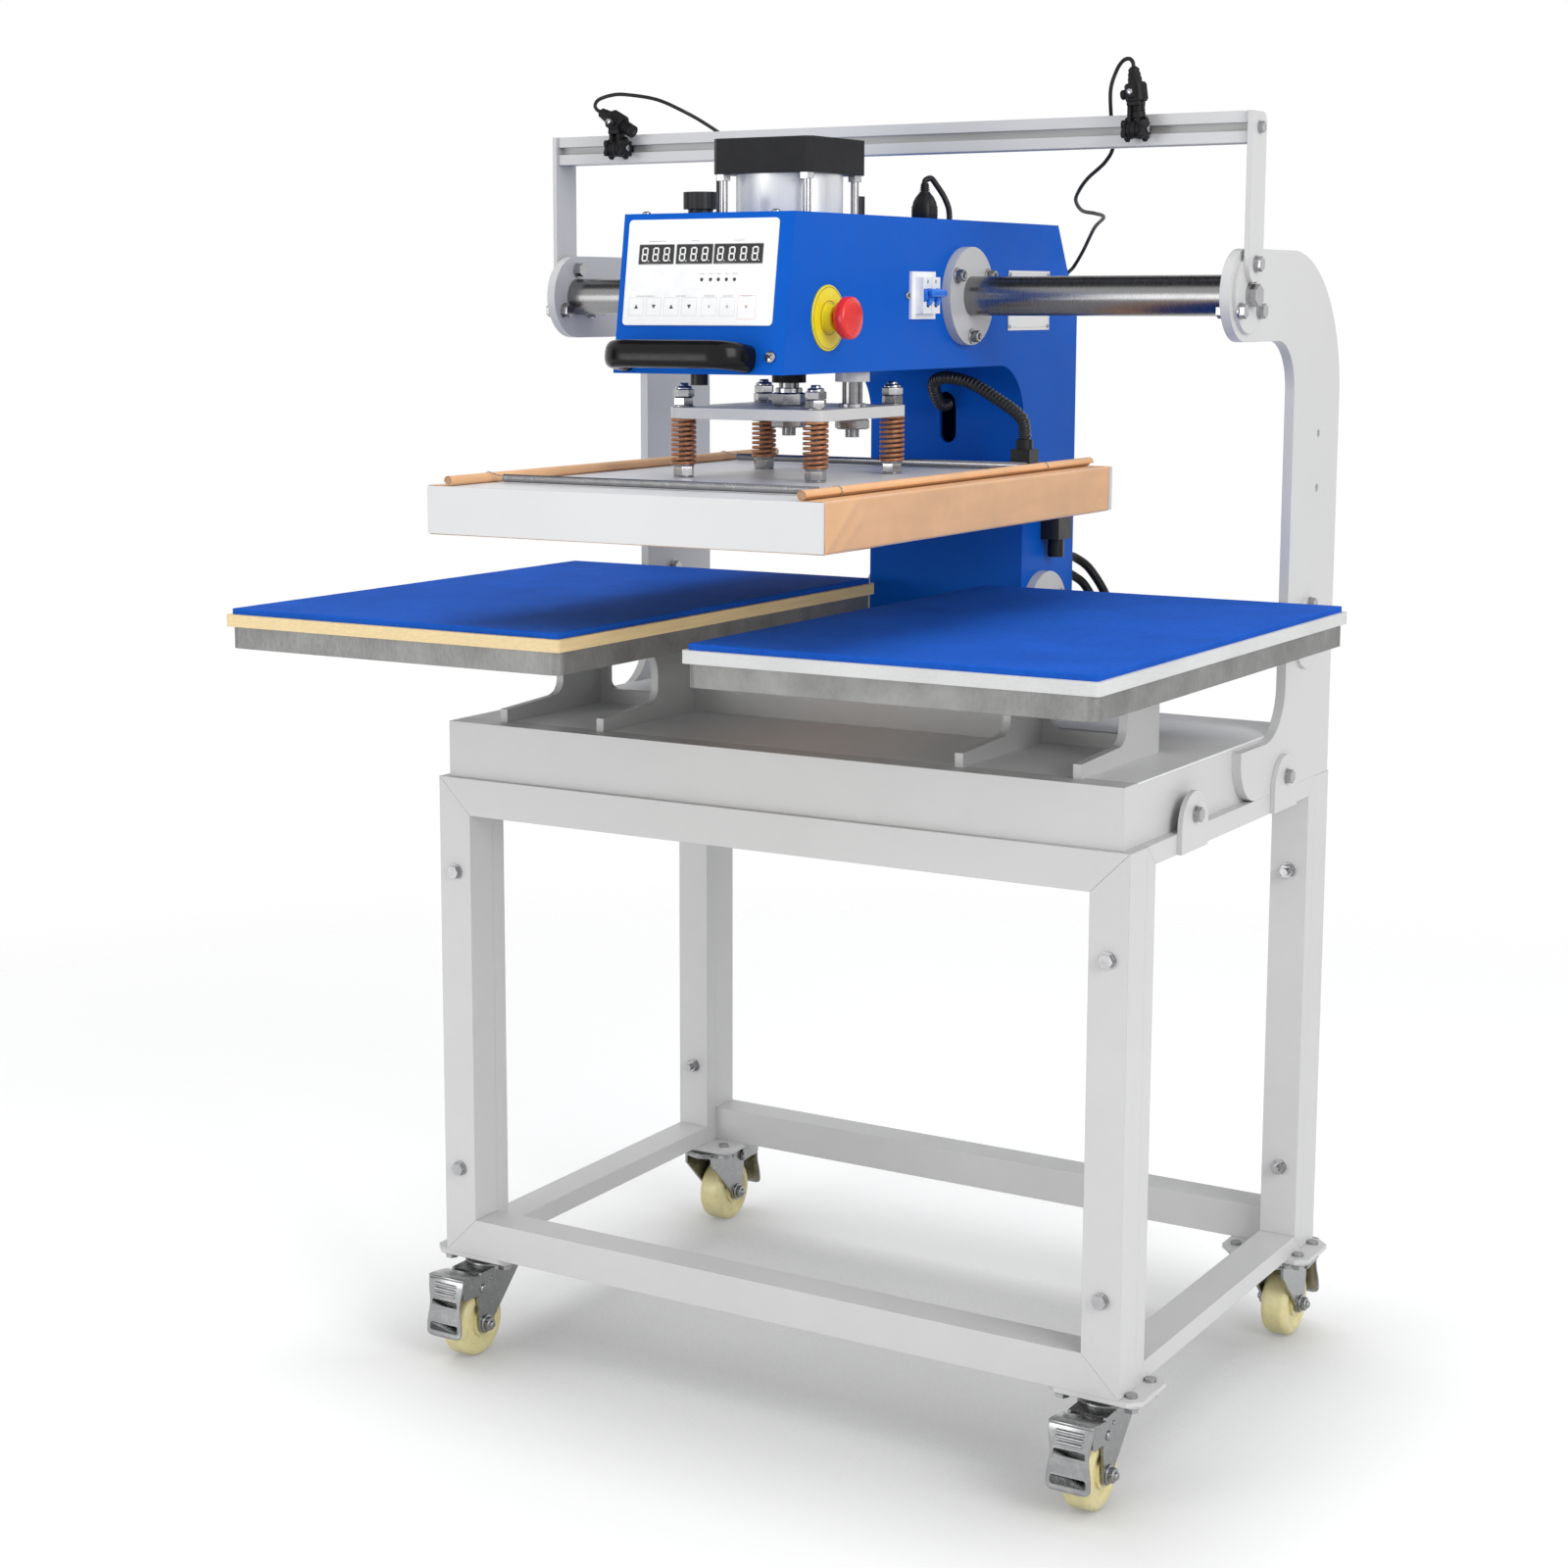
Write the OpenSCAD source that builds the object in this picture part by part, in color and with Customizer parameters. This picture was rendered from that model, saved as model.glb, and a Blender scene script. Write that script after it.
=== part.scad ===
// Dual station heat press: a sliding pneumatic press head over two fixed tables, on a wheeled stand
// Millimetres, +Z up; the origin is on the floor, under the middle of the whole machine

/* [Stand] */
// Width of the stand across the legs
stand_width = 800; // [760:5:860]
// Depth of the stand from front face to rear face
stand_depth = 536; // [520:4:600]
// Height of the welded stand frames
stand_height = 530; // [400:10:700]
// Side of the square leg tube
leg_tube = 40; // [36:1:44]
// Narrow side of the side frame tube
side_tube = 20; // [18:1:24]
// Wall of the stand tubes
tube_wall = 2; // [1.5:0.5:3]

/* [Casters] */
// Diameter of the caster wheels
wheel_d = 75; // [70:1:78]
// Width of the caster wheels
wheel_width = 30; // [26:1:32]
// Horizontal offset of the axle from the swivel axis
caster_trail = 36; // [33:1:38]
// Height of the caster from the floor to the top of its plate
caster_height = 109; // [107:1:118]
// Length of a stand mounting plate along X
mount_plate_x = 100; // [96:1:110]
// Length of a stand mounting plate along Y
mount_plate_y = 80; // [76:1:88]
// Thickness of a stand mounting plate
mount_plate_t = 5; // [4:0.5:8]

/* [Base and side plates] */
// Depth of the base box
base_depth = 450; // [430:5:480]
// Height of the base box
base_height = 60; // [50:1:70]
// Setback of the base front from the stand front
base_setback = 6; // [4:1:12]
// Thickness of the side plates
side_plate_t = 10; // [8:1:12]
// Width of the upright part of the side plates
upright_width = 137; // [128:1:144]
// Height of the upper shaft above the floor
upper_shaft_z = 1153; // [1145:1:1165]
// Height of the lower shaft above the floor
lower_shaft_z = 803; // [796:1:810]
// Diameter of both guide shafts
shaft_d = 40; // [36:1:42]

/* [Tables] */
// Distance of each table's middle from the middle of the machine
table_offset = 271; // [262:1:280]
// Width of the printing pads
pad_width = 400; // [380:5:410]
// Depth of the printing pads
pad_depth = 600; // [560:5:610]
// Thickness of the printing pads
pad_t = 6; // [4:0.5:8]
// Thickness of the plate under each pad
table_plate_t = 12; // [10:1:14]
// Thickness of the table bodies
table_body_t = 22; // [18:1:26]
// Height of the table brackets above the base
bracket_height = 100; // [90:1:110]

/* [Press head] */
// Width of the press head
head_width = 188; // [180:2:196]
// Height of the horizontal beam of the head
head_beam_h = 150; // [140:1:156]
// Sheet thickness of the head shell
head_wall = 5; // [3:0.5:6]
// Bore of the pneumatic cylinder
cylinder_bore = 100; // [90:1:102]
// Diameter of the piston rod and of the guide rod
rod_d = 20; // [16:1:22]
// Side of the square floating plate
float_plate = 176; // [170:1:184]
// Gap between the heater and the pads with the press open
press_gap = 86; // [60:1:95]

/* [Heater] */
// Width of the heater
heater_width = 430; // [410:5:450]
// Depth of the heater
heater_depth = 612; // [590:2:620]
// Height of the heater housing
heater_height = 46; // [42:1:50]
// Outer diameter of the pressure springs
spring_d = 25; // [22:1:27]
// Number of curls of each pressure spring
spring_curls = 9; // [6:1:9]

/* [Gantry] */
// Height of the top of the light bar above the floor
gantry_top = 1328; // [1320:1:1380]
// Side of the slotted light bar
gantry_bar_side = 30; // [28:1:32]

/* [Hidden] */

$fn = 48;
cut = 1;             // overrun of every cutting shape
seam = 0.15;         // half gap left at welded corners
gap = 0.3;           // clearance between pieces that move past each other
fit = 0.05;          // radial clearance of shafts and pins that run in a bore
hole_fit = 0.25;     // radial clearance of bolts in their holes

// fastener proportions, as shares of the bolt diameter
af_share = 1.6;
head_h_share = 0.65;
nut_h_share = 0.8;
washer_d_share = 2.1;
washer_t_share = 0.2;
leg_bolt_d = 8;
leg_bolt_low = 96;   // lower leg bolts above the bottom of the stand frames
leg_bolt_high = 103; // upper leg bolts below the top of the stand frames
leg_bolt_end = 6;    // thread past the nut

// levels
stand_bottom = caster_height + mount_plate_t;
stand_top = stand_bottom + stand_height;
base_top = stand_top + base_height;
table_bottom = base_top + bracket_height;
pad_top = table_bottom + table_body_t + table_plate_t + pad_t;
heater_bottom = pad_top + press_gap;
heater_top = heater_bottom + heater_height;
front_y = -stand_depth / 2;
rear_y = stand_depth / 2;

// casters
mount_plate_reach = 20;     // plate edge past the outer face of the legs
caster_x = stand_width / 2 + mount_plate_reach - mount_plate_x / 2;
caster_y = rear_y - mount_plate_y / 2;
mount_plate_chamfer = 12;
caster_plate_x = 95;
caster_plate_y = 67;
caster_plate_t = 3;
caster_hole_x = 72;
caster_hole_y = 46;
caster_bolt_d = 8;
caster_bolt_head_d = 12;
caster_bolt_head_h = 3;
wheel_r = wheel_d / 2;
wheel_crown = 7;
wheel_face_recess = 3;
wheel_rim_share = 0.74;
bearing_r = 9;
bearing_over = 0.5;
bearing_length = wheel_width + 2 * bearing_over;
axle_r = 4;
fork_sheet = 3;
fork_play = 2;
fork_inner = wheel_width / 2 + fork_play;
fork_outer = fork_inner + fork_sheet;
race_h = 9;
fork_top = caster_height - caster_plate_t - race_h;
race_d = 56;
race_top_d = 40;
kingpin_r = 6;
kingpin_head_r = 9;
kingpin_head_h = 4;
fork_front = 24;
fork_shoulder = 44;
fork_nose = 12;
fork_ear_y = 54;
fork_ear_drop = 12;
fork_boss_r = 11;
axle_nut_af = 13;
axle_nut_h = 6;
pedal_pin_y = 46;
pedal_pin_drop = 16;
pedal_pin_z = fork_top - pedal_pin_drop;
pedal_pin_r = 3;
pedal_sheet = 3;
pedal_side_gap = 0.4;
pedal_reach = 87;
pedal_top_reach = 78;
pedal_bottom = 30;
pedal_rise = 4;
pedal_ridge_h = 1.5;
pedal_ridge_w = 4;
pedal_ridge_pitch = 8;
pedal_ridge_n = 3;
pedal_ridge_start = 12;

// overall depth and the shift that centres the machine on its origin
heater_front = -517;
heater_rear = heater_front + heater_depth;
machine_rear = caster_y + pedal_reach;
shift_y = -(heater_front + machine_rear) / 2;

// base box
base_front = front_y + base_setback;
base_rear = base_front + base_depth;
base_sheet = 3;
base_flange = 30;
deck_t = 2;
deck_seam = 1;

// hold-down tabs
tab_width = 66;
tab_t = 5;
tab_rise = 38;
tab_drop = 20;
tab_front_y = -124;
tab_rear_y = 125;
tab_bolt_rise = 15;

// side plates
base_width = stand_width - 2 * side_plate_t;
plate_inner = base_width / 2;
plate_outer = plate_inner + side_plate_t;
upright_inset = 4;
upright_rear = rear_y - upright_inset;
upright_front = upright_rear - upright_width;
upper_shaft_y = -15;
lobe_r = 45;
plate_top_r = 150;
plate_inner_fillet = 50;
plate_foot_top = 55;     // top of the foot above the stand
plate_foot_front = 6;
plate_foot_flare = 53;
plate_foot_round = 45;
accessory_hole_d = 8;
accessory_hole_y = 203;
accessory_hole_pitch = 57;
accessory_hole_drop = 142;
lower_shaft_y = 181;
disc_r = 37;
disc_t = 4;
disc_bolt_r = 30;
disc_bolt_d = 8;
shaft_bolt_d = 12;
shaft_bolt_depth = 30;

// gantry
post_width = 38;
post_t = 5;
post_foot_drop = 8;      // post foot below the top bolt of the disc
post_y = -15;
post_corner = 10;
post_bolt_drop = 15;
slot_mouth = 8;
slot_inner = 13;
slot_lip = 2;
slot_depth = 9;
bar_bore = 7;

// tables
table_front_y = -510;
table_y = table_front_y + pad_depth / 2;
plate_lip = 4;
plate_lip_y = 5;
body_lip = 1;
table_corner = 10;
bracket_t = 9;
bracket_pitch = 124;
bracket_back = -65;
bracket_front = -137;
toe_front = -241;
toe_front_h = 14;
toe_back_h = 19;
arm_front = -330;
arm_front_h = 12;
arm_back_h = 22;
bracket_fillet = 30;
toe_fillet = 16;
web_t = 8;
web_window_side = 10;
web_window_low = 16;
web_window_high = 14;
web_window_r = 10;

// press head
head_front_top = -360;
head_slope_run = 22;     // how far the front's lower edge lies ahead of its upper edge
head_bottom = 1080;
head_top = head_bottom + head_beam_h;
head_rear_over = 1;
head_rear = upright_rear + head_rear_over;
head_rear_run = 53;
head_rear_drop = 99;
column_front = 132;
column_bottom = 740;
head_fillet = 60;
front_tilt = atan(head_slope_run / head_beam_h);
column_slot_w = 20;
column_slot_x = 2;
column_slot_low = 994;
column_slot_h = 56;

// control panel
panel_width = 166;
panel_height = 100;
panel_x = -4;
panel_drop = 56;
panel_t = 1.5;
panel_corner = 4;
display_h = 18;
display_drop = 39;
display_t = 1;
display_w = [39, 40, 53];
display_x = [-53.5, -11, 37.5];

// handle
handle_width = 168;
handle_x = -17;
handle_h = 26;
handle_drop = 137;
handle_reach = 44;
handle_bar = 20;
handle_foot_w = 26;

// upper fittings
flange_r = 50;
flange_t = 10;
flange_bolt_r = 41;
flange_bolt_d = 6;
sleeve_r = 30;
sleeve_length = 60;
estop_y = -299;
estop_z = 1132;
estop_disc_r = 31;
estop_disc_t = 2;
estop_neck_r = 12;
estop_neck_t = 8;
estop_stem_r = 8;
estop_mush_r = 20;
estop_mush_t = 14;
estop_travel = 4;
estop_clear = 1;
estop_stem_l = 26;
breaker_y = -109.5;
breaker_z = 1153.5;
breaker_w = 51;
breaker_h = 47;
breaker_plate_t = 3;
breaker_body_t = 9;
breaker_body_w = 36;
toggle_w = 34;
toggle_r = 7;
toggle_reach = 14;
toggle_bar = 5;
name_y = 139;
name_z = 1148.5;
name_w = 102;
name_h = 63;
name_t = 1;
knob_x = -27.5;
knob_y = -330;
knob_r = 16.5;
knob_base_r = 12;
knob_base_h = 4;
knob_h = 16;

// cylinder
ram_y = -210;
barrel_wall = 2.5;
cap_side = 112;
cap_top_z = 1304;
cap_top_h = 34;
cap_low_h = 26;
cap_chamfer = 6;
tie_rod_r = 4;
tie_rod_at = 47;
tie_nut_af = 13;
tie_nut_h = 6;
piston_t = 30;
piston_fit = 0.1;
piston_rest = 5;        // piston top below the upper cap at rest
gland_r = 17;
gland_h = 12;
guide_x = 72;
guide_flange_r = 17;
guide_flange_h = 10;
guide_top = 1205;

// floating plate and springs
float_top = 1045;
float_t = 11;
float_corner = 12;
stud_at_x = 75;
stud_at_y = 77;
stud_r = 5;
stud_nut_af = 19;
stud_nut_h = 12;
spring_nut_h = 13;
acorn_h = 12;
coupling_af = 30;
coupling_h = 18;
rod_nut_h = 10;
rod_nut_af = 30;
rod_thread_end = 8;
thread_step = 3;
spring_wire_w = 5;      // radial width of the spring wire
spring_wire_h = 2.4;    // height of the spring wire

// heater
cover_t = 2;
cloth_t = 0.8;
heater_plate_t = 26;
cloth_front = 2;
cloth_rear = 8;
cloth_over = 24;
rod_wrap_r = 4;
rod_inset = 23;
tension_r = 4;
tension_wire_r = 1.1;
tension_curls = 15;
tension_y = [-452, -25];
gland_x = 125;
gland_y = 70;
gland_box = 22;
gland_box_h = 27;
hose_r = 7;
hose_bore_r = 4.5;

PI_DEG = 180;
ring_turn = 360;

// ---------- general shapes
module hex(af, h) {
  cylinder(d = af / cos(PI_DEG / 6), h = h, $fn = 6);
}

// bolt along +Z through a grip that starts at z = 0, with its head below and a nut above
module bolt_and_nut(d, grip, tail) {
  washer_t = d * washer_t_share;
  union() {
    translate([0, 0, -washer_t]) cylinder(d = d * washer_d_share, h = washer_t);
    translate([0, 0, -washer_t - d * head_h_share]) hex(d * af_share, d * head_h_share + washer_t / 2);
    translate([0, 0, -washer_t]) cylinder(d = d, h = washer_t + grip + washer_t + d * nut_h_share + tail);
    translate([0, 0, grip]) cylinder(d = d * washer_d_share, h = washer_t);
    translate([0, 0, grip + washer_t / 2]) hex(d * af_share, d * nut_h_share + washer_t / 2);
  }
}

// bolt along +Z that ends in a threaded hole
module bolt_in(d, grip) {
  washer_t = d * washer_t_share;
  union() {
    translate([0, 0, -washer_t]) cylinder(d = d * washer_d_share, h = washer_t);
    translate([0, 0, -washer_t - d * head_h_share]) hex(d * af_share, d * head_h_share + washer_t / 2);
    translate([0, 0, -washer_t]) cylinder(d = d, h = washer_t + grip);
  }
}

// turn a shape drawn along +Z so that it points along an axis
module along_x() { rotate([0, 90, 0]) children(); }
module along_minus_x() { rotate([0, -90, 0]) children(); }
module along_y() { rotate([-90, 0, 0]) children(); }
module along_minus_y() { rotate([90, 0, 0]) children(); }

// an outline drawn in Y and Z, extruded along X from x = 0
module extrude_x(t) {
  rotate([90, 0, 90]) linear_extrude(t) children();
}

// an outline drawn in X and Z, extruded along +Y from y = 0
module extrude_y(t) {
  translate([0, t, 0]) rotate([90, 0, 0]) linear_extrude(t) children();
}

module rounded_rect(w, h, r) {
  union() {
    translate([-w / 2 + r, -h / 2]) square([w - 2 * r, h]);
    translate([-w / 2, -h / 2 + r]) square([w, h - 2 * r]);
    for (sx = [-1, 1], sy = [-1, 1])
      translate([sx * (w / 2 - r), sy * (h / 2 - r)]) circle(r);
  }
}

module chamfered_rect(w, h, c) {
  polygon([[-w / 2 + c, -h / 2], [w / 2 - c, -h / 2], [w / 2, -h / 2 + c], [w / 2, h / 2 - c],
    [w / 2 - c, h / 2], [-w / 2 + c, h / 2], [-w / 2, h / 2 - c], [-w / 2, -h / 2 + c]]);
}

// the web of a concave corner: fills the corner at the origin towards +x and +y
module corner_fillet(r) {
  difference() {
    translate([-seam, -seam]) square(r + seam);
    translate([r, r]) circle(r);
  }
}

// ---------- stand
// tube along +X with its outer face at z = 0 and mitred ends
module mitred_tube(length, face, depth) {
  difference() {
    extrude_y(depth)
      polygon([[seam, 0], [length - seam, 0], [length - face - seam, face], [face + seam, face]]);
    translate([-cut, tube_wall, tube_wall])
      cube([length + 2 * cut, depth - 2 * tube_wall, face - 2 * tube_wall]);
  }
}

module tube_ring(width, height, face, depth) {
  mitred_tube(width, face, depth);
  translate([0, 0, height]) mirror([0, 0, 1]) mitred_tube(width, face, depth);
  for (right = [0, 1])
    translate([right * width, 0, 0]) mirror([right, 0, 0])
      mirror([1, 0, -1]) mitred_tube(height, face, depth);
}

leg_bolt_x = stand_width / 2 - leg_tube / 2;
leg_bolt_z = [stand_bottom + leg_bolt_low, stand_top - leg_bolt_high];
leg_grip = leg_tube + side_tube;

module at_leg_bolts() {
  for (sx = [-1, 1], z = leg_bolt_z, sy = [-1, 1])
    translate([sx * leg_bolt_x, 0, z]) mirror([0, sy < 0 ? 0 : 1, 0]) translate([0, front_y, 0]) children();
}

module leg_bolt_holes() {
  at_leg_bolts() translate([0, -cut, 0]) along_y()
    cylinder(d = leg_bolt_d + 2 * hole_fit, h = leg_grip + 2 * cut);
}

module at_casters() {
  for (sx = [-1, 1], sy = [-1, 1])
    translate([sx * caster_x, sy * caster_y, 0]) children();
}

module at_caster_bolts() {
  at_casters() for (bx = [-1, 1], by = [-1, 1])
    translate([bx * caster_hole_x / 2, by * caster_hole_y / 2, stand_bottom]) children();
}

module stand_end_frames() {
  color("gainsboro") difference() {
    for (y = [front_y, rear_y - leg_tube])
      translate([-stand_width / 2, y, stand_bottom])
        tube_ring(stand_width, stand_height, leg_tube, leg_tube);
    leg_bolt_holes();
    at_caster_bolts() translate([0, 0, -cut])
      cylinder(d = caster_bolt_head_d + 2 * hole_fit, h = tube_wall + 2 * cut);
  }
}

module tab_outline() {
  union() {
    translate([-tab_width / 2, -tab_drop]) square([tab_width, tab_drop + tab_rise - tab_width / 2]);
    intersection() {
      translate([0, tab_rise - tab_width / 2]) circle(tab_width / 2);
      translate([-tab_width / 2, -tab_drop]) square([tab_width, tab_drop + tab_rise]);
    }
  }
}

module at_tab(y) {
  for (right = [0, 1]) mirror([right, 0, 0])
    translate([-stand_width / 2, y, stand_top]) children();
}

module stand_side_frames() {
  color("gainsboro") {
    difference() {
      for (right = [0, 1]) mirror([right, 0, 0])
        translate([-stand_width / 2 + leg_tube, front_y + leg_tube, stand_bottom]) rotate([0, 0, 90])
          tube_ring(stand_depth - 2 * leg_tube, stand_height, side_tube, leg_tube);
      leg_bolt_holes();
    }
    for (y = [tab_front_y, tab_rear_y]) at_tab(y) translate([-tab_t - seam, 0, 0]) difference() {
      extrude_x(tab_t) tab_outline();
      translate([-cut, 0, tab_bolt_rise]) along_x()
        cylinder(d = leg_bolt_d + 2 * hole_fit, h = tab_t + 2 * cut);
    }
  }
}

module caster_plates() {
  color("gainsboro") at_casters() translate([0, 0, caster_height]) difference() {
    linear_extrude(mount_plate_t) chamfered_rect(mount_plate_x, mount_plate_y, mount_plate_chamfer);
    for (bx = [-1, 1], by = [-1, 1]) translate([bx * caster_hole_x / 2, by * caster_hole_y / 2, -cut])
      cylinder(d = caster_bolt_d + 2 * hole_fit, h = mount_plate_t + 2 * cut);
  }
  color("silver") at_casters() union() {
    translate([0, 0, caster_height - caster_plate_t]) difference() {
      linear_extrude(caster_plate_t - seam)
        rounded_rect(caster_plate_x, caster_plate_y, mount_plate_chamfer);
      for (bx = [-1, 1], by = [-1, 1]) translate([bx * caster_hole_x / 2, by * caster_hole_y / 2, -cut])
        cylinder(d = caster_bolt_d + 2 * hole_fit, h = caster_plate_t + 2 * cut);
    }
    translate([0, 0, fork_top - fork_sheet - gap - seam])
      cylinder(r = kingpin_r, h = race_h + fork_sheet + 2 * gap);
    translate([0, 0, fork_top - fork_sheet - gap - kingpin_head_h])
      cylinder(r = kingpin_head_r, h = kingpin_head_h);
  }
}

module frame_fasteners() {
  color("silver") {
    at_leg_bolts() along_y() bolt_and_nut(leg_bolt_d, leg_grip, leg_bolt_end);
    at_caster_bolts() {
      cylinder(d = caster_bolt_head_d, h = caster_bolt_head_h);
      translate([0, 0, -mount_plate_t - caster_plate_t - caster_bolt_d * nut_h_share])
        cylinder(d = caster_bolt_d, h = mount_plate_t + caster_plate_t + caster_bolt_d * nut_h_share);
      translate([0, 0, -mount_plate_t - caster_plate_t - caster_bolt_d * nut_h_share])
        hex(caster_bolt_d * af_share, caster_bolt_d * nut_h_share);
    }
    tab_bolts();
    disc_bolts();
    gantry_bolts();
  }
}

module tab_bolts() {
  grip = tab_t + seam + side_plate_t + base_sheet;
  for (y = [tab_front_y, tab_rear_y]) at_tab(y)
    translate([-tab_t - seam, 0, tab_bolt_rise]) along_x() bolt_and_nut(leg_bolt_d, grip, leg_bolt_end);
}

// ---------- base box and side plates
module tab_bolt_holes() {
  for (y = [tab_front_y, tab_rear_y]) at_tab(y)
    translate([-tab_t - cut, 0, tab_bolt_rise]) along_x()
      cylinder(d = leg_bolt_d + 2 * hole_fit, h = tab_t + side_plate_t + base_sheet + 3 * cut);
}

module base_frame() {
  color("gainsboro") difference() {
    translate([-base_width / 2, base_front, stand_top]) cube([base_width, base_depth, base_height]);
    translate([-base_width / 2 + base_sheet, base_front + base_sheet, stand_top + base_sheet])
      cube([base_width - 2 * base_sheet, base_depth - 2 * base_sheet, base_height - 2 * base_sheet]);
    translate([-base_width / 2 + base_flange, base_front + base_flange, stand_top - cut])
      cube([base_width - 2 * base_flange, base_depth - 2 * base_flange, base_height + 2 * cut]);
    translate([-base_width / 2 - cut, base_front + base_flange, base_top - deck_t])
      cube([base_width + 2 * cut, base_depth - base_flange + cut, deck_t + cut]);
    tab_bolt_holes();
  }
}

module base_deck() {
  color("whitesmoke") translate([-base_width / 2, base_front + base_flange + deck_seam, base_top - deck_t])
    cube([base_width, base_depth - base_flange - deck_seam, deck_t]);
}

module side_plate_outline() {
  top = upper_shaft_z + lobe_r;
  under = upper_shaft_z - lobe_r;
  foot_top = stand_top + plate_foot_top;
  difference() {
    union() {
      translate([upper_shaft_y, upper_shaft_z]) circle(lobe_r);
      translate([upper_shaft_y, under]) square([upright_rear - upper_shaft_y, top - under]);
      translate([upright_front, stand_top]) square([upright_width, top - stand_top]);
      translate([upright_front, under]) mirror([1, 0]) mirror([0, 1]) corner_fillet(plate_inner_fillet);
      translate([plate_foot_front, stand_top])
        square([upright_front - plate_foot_front + seam, plate_foot_top]);
      translate([upright_front, foot_top]) mirror([1, 0]) corner_fillet(plate_foot_flare);
    }
    translate([upright_rear - plate_top_r, top - plate_top_r]) difference() {
      square(plate_top_r + cut);
      circle(plate_top_r);
    }
    translate([plate_foot_front + plate_foot_round, stand_top + plate_foot_round]) difference() {
      translate([-plate_foot_round - cut, -plate_foot_round - cut]) square(plate_foot_round + cut);
      circle(plate_foot_round);
    }
  }
}

module at_shaft_ends() {
  for (right = [0, 1]) mirror([right, 0, 0]) {
    translate([-plate_outer, upper_shaft_y, upper_shaft_z]) children();
    translate([-plate_outer, lower_shaft_y, lower_shaft_z]) children();
  }
}

module at_disc_bolts() {
  at_shaft_ends() for (a = [90, 210, 330])
    translate([0, disc_bolt_r * cos(a), disc_bolt_r * sin(a)]) children();
}

module shaft_end_holes() {
  at_disc_bolts() translate([-disc_t - cut, 0, 0]) along_x()
    cylinder(d = disc_bolt_d + 2 * hole_fit, h = disc_t + side_plate_t + 2 * cut);
  at_shaft_ends() translate([-disc_t - cut, 0, 0]) along_x()
    cylinder(d = shaft_bolt_d + 2 * hole_fit, h = disc_t + side_plate_t + cut + shaft_bolt_depth + cut);
}

module side_plates() {
  color("gainsboro") difference() {
    for (right = [0, 1]) mirror([right, 0, 0])
      translate([-plate_outer, 0, 0]) extrude_x(side_plate_t) side_plate_outline();
    shaft_end_holes();
    for (right = [0, 1], n = [0, 1]) mirror([right, 0, 0])
      translate([-plate_outer - cut, accessory_hole_y,
        upper_shaft_z - accessory_hole_drop - n * accessory_hole_pitch])
        along_x() cylinder(d = accessory_hole_d, h = side_plate_t + 2 * cut);
    tab_bolt_holes();
  }
}

module shaft_end_discs() {
  color("gainsboro") difference() {
    at_shaft_ends() translate([-disc_t, 0, 0]) along_x() cylinder(r = disc_r, h = disc_t);
    shaft_end_holes();
  }
}

module guide_shafts() {
  color("silver") difference() {
    for (p = [[upper_shaft_y, upper_shaft_z], [lower_shaft_y, lower_shaft_z]])
      translate([-plate_inner, p[0], p[1]]) along_x() cylinder(d = shaft_d, h = 2 * plate_inner, $fn = 96);
    shaft_end_holes();
  }
}

// ---------- gantry
post_bolt_z = gantry_top - post_bolt_drop;
post_foot_z = upper_shaft_z + disc_bolt_r;
post_r = post_width / 2;

module post_outline() {
  difference() {
    union() {
      translate([post_y, post_foot_z]) circle(post_r);
      translate([post_y - post_r, post_foot_z]) square([post_width, gantry_top - post_foot_z]);
    }
    translate([post_y + post_r - post_corner, gantry_top - post_corner]) difference() {
      square(post_corner + cut);
      circle(post_corner);
    }
    translate([upper_shaft_y, upper_shaft_z]) circle(d = shaft_bolt_d * washer_d_share + 2 * gap);
  }
}

module bar_outline() {
  side = gantry_bar_side;
  difference() {
    square(side, center = true);
    for (a = [0, 1, 2, 3]) rotate(a * ring_turn / 4) {
      translate([side / 2 - slot_depth, -slot_mouth / 2]) square([slot_depth + cut, slot_mouth]);
      translate([side / 2 - slot_depth + slot_lip, -slot_inner / 2])
        square([slot_depth - 2 * slot_lip, slot_inner]);
    }
    circle(d = bar_bore);
  }
}

module gantry_frame() {
  color("gainsboro") {
    difference() {
      for (right = [0, 1]) mirror([right, 0, 0])
        translate([-plate_outer - disc_t - post_t, 0, 0]) extrude_x(post_t) post_outline();
      gantry_bolt_holes();
    }
    translate([-plate_outer - disc_t + seam, post_y, gantry_top - gantry_bar_side / 2])
      extrude_x(2 * (plate_outer + disc_t - seam)) bar_outline();
  }
}

module gantry_bolt_holes() {
  for (right = [0, 1]) mirror([right, 0, 0]) for (z = [post_foot_z, post_bolt_z])
    translate([-plate_outer - disc_t - post_t - cut, post_y, z]) along_x()
      cylinder(d = disc_bolt_d + 2 * hole_fit, h = post_t + 2 * cut);
}

module disc_bolts() {
  at_shaft_ends() {
    translate([-disc_t, 0, 0]) along_x() bolt_in(shaft_bolt_d, disc_t + side_plate_t + shaft_bolt_depth);
    for (a = [210, 330]) translate([-disc_t, disc_bolt_r * cos(a), disc_bolt_r * sin(a)])
      along_x() bolt_and_nut(disc_bolt_d, disc_t + side_plate_t, 0);
  }
  for (right = [0, 1]) mirror([right, 0, 0]) {
    translate([-plate_outer - disc_t - post_t, upper_shaft_y, upper_shaft_z + disc_bolt_r])
      along_x() bolt_and_nut(disc_bolt_d, post_t + disc_t + side_plate_t, 0);
    translate([-plate_outer - disc_t, lower_shaft_y, lower_shaft_z + disc_bolt_r])
      along_x() bolt_and_nut(disc_bolt_d, disc_t + side_plate_t, 0);
  }
}

bar_bolt_d = 6;
bar_bolt_depth = 20;

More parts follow.
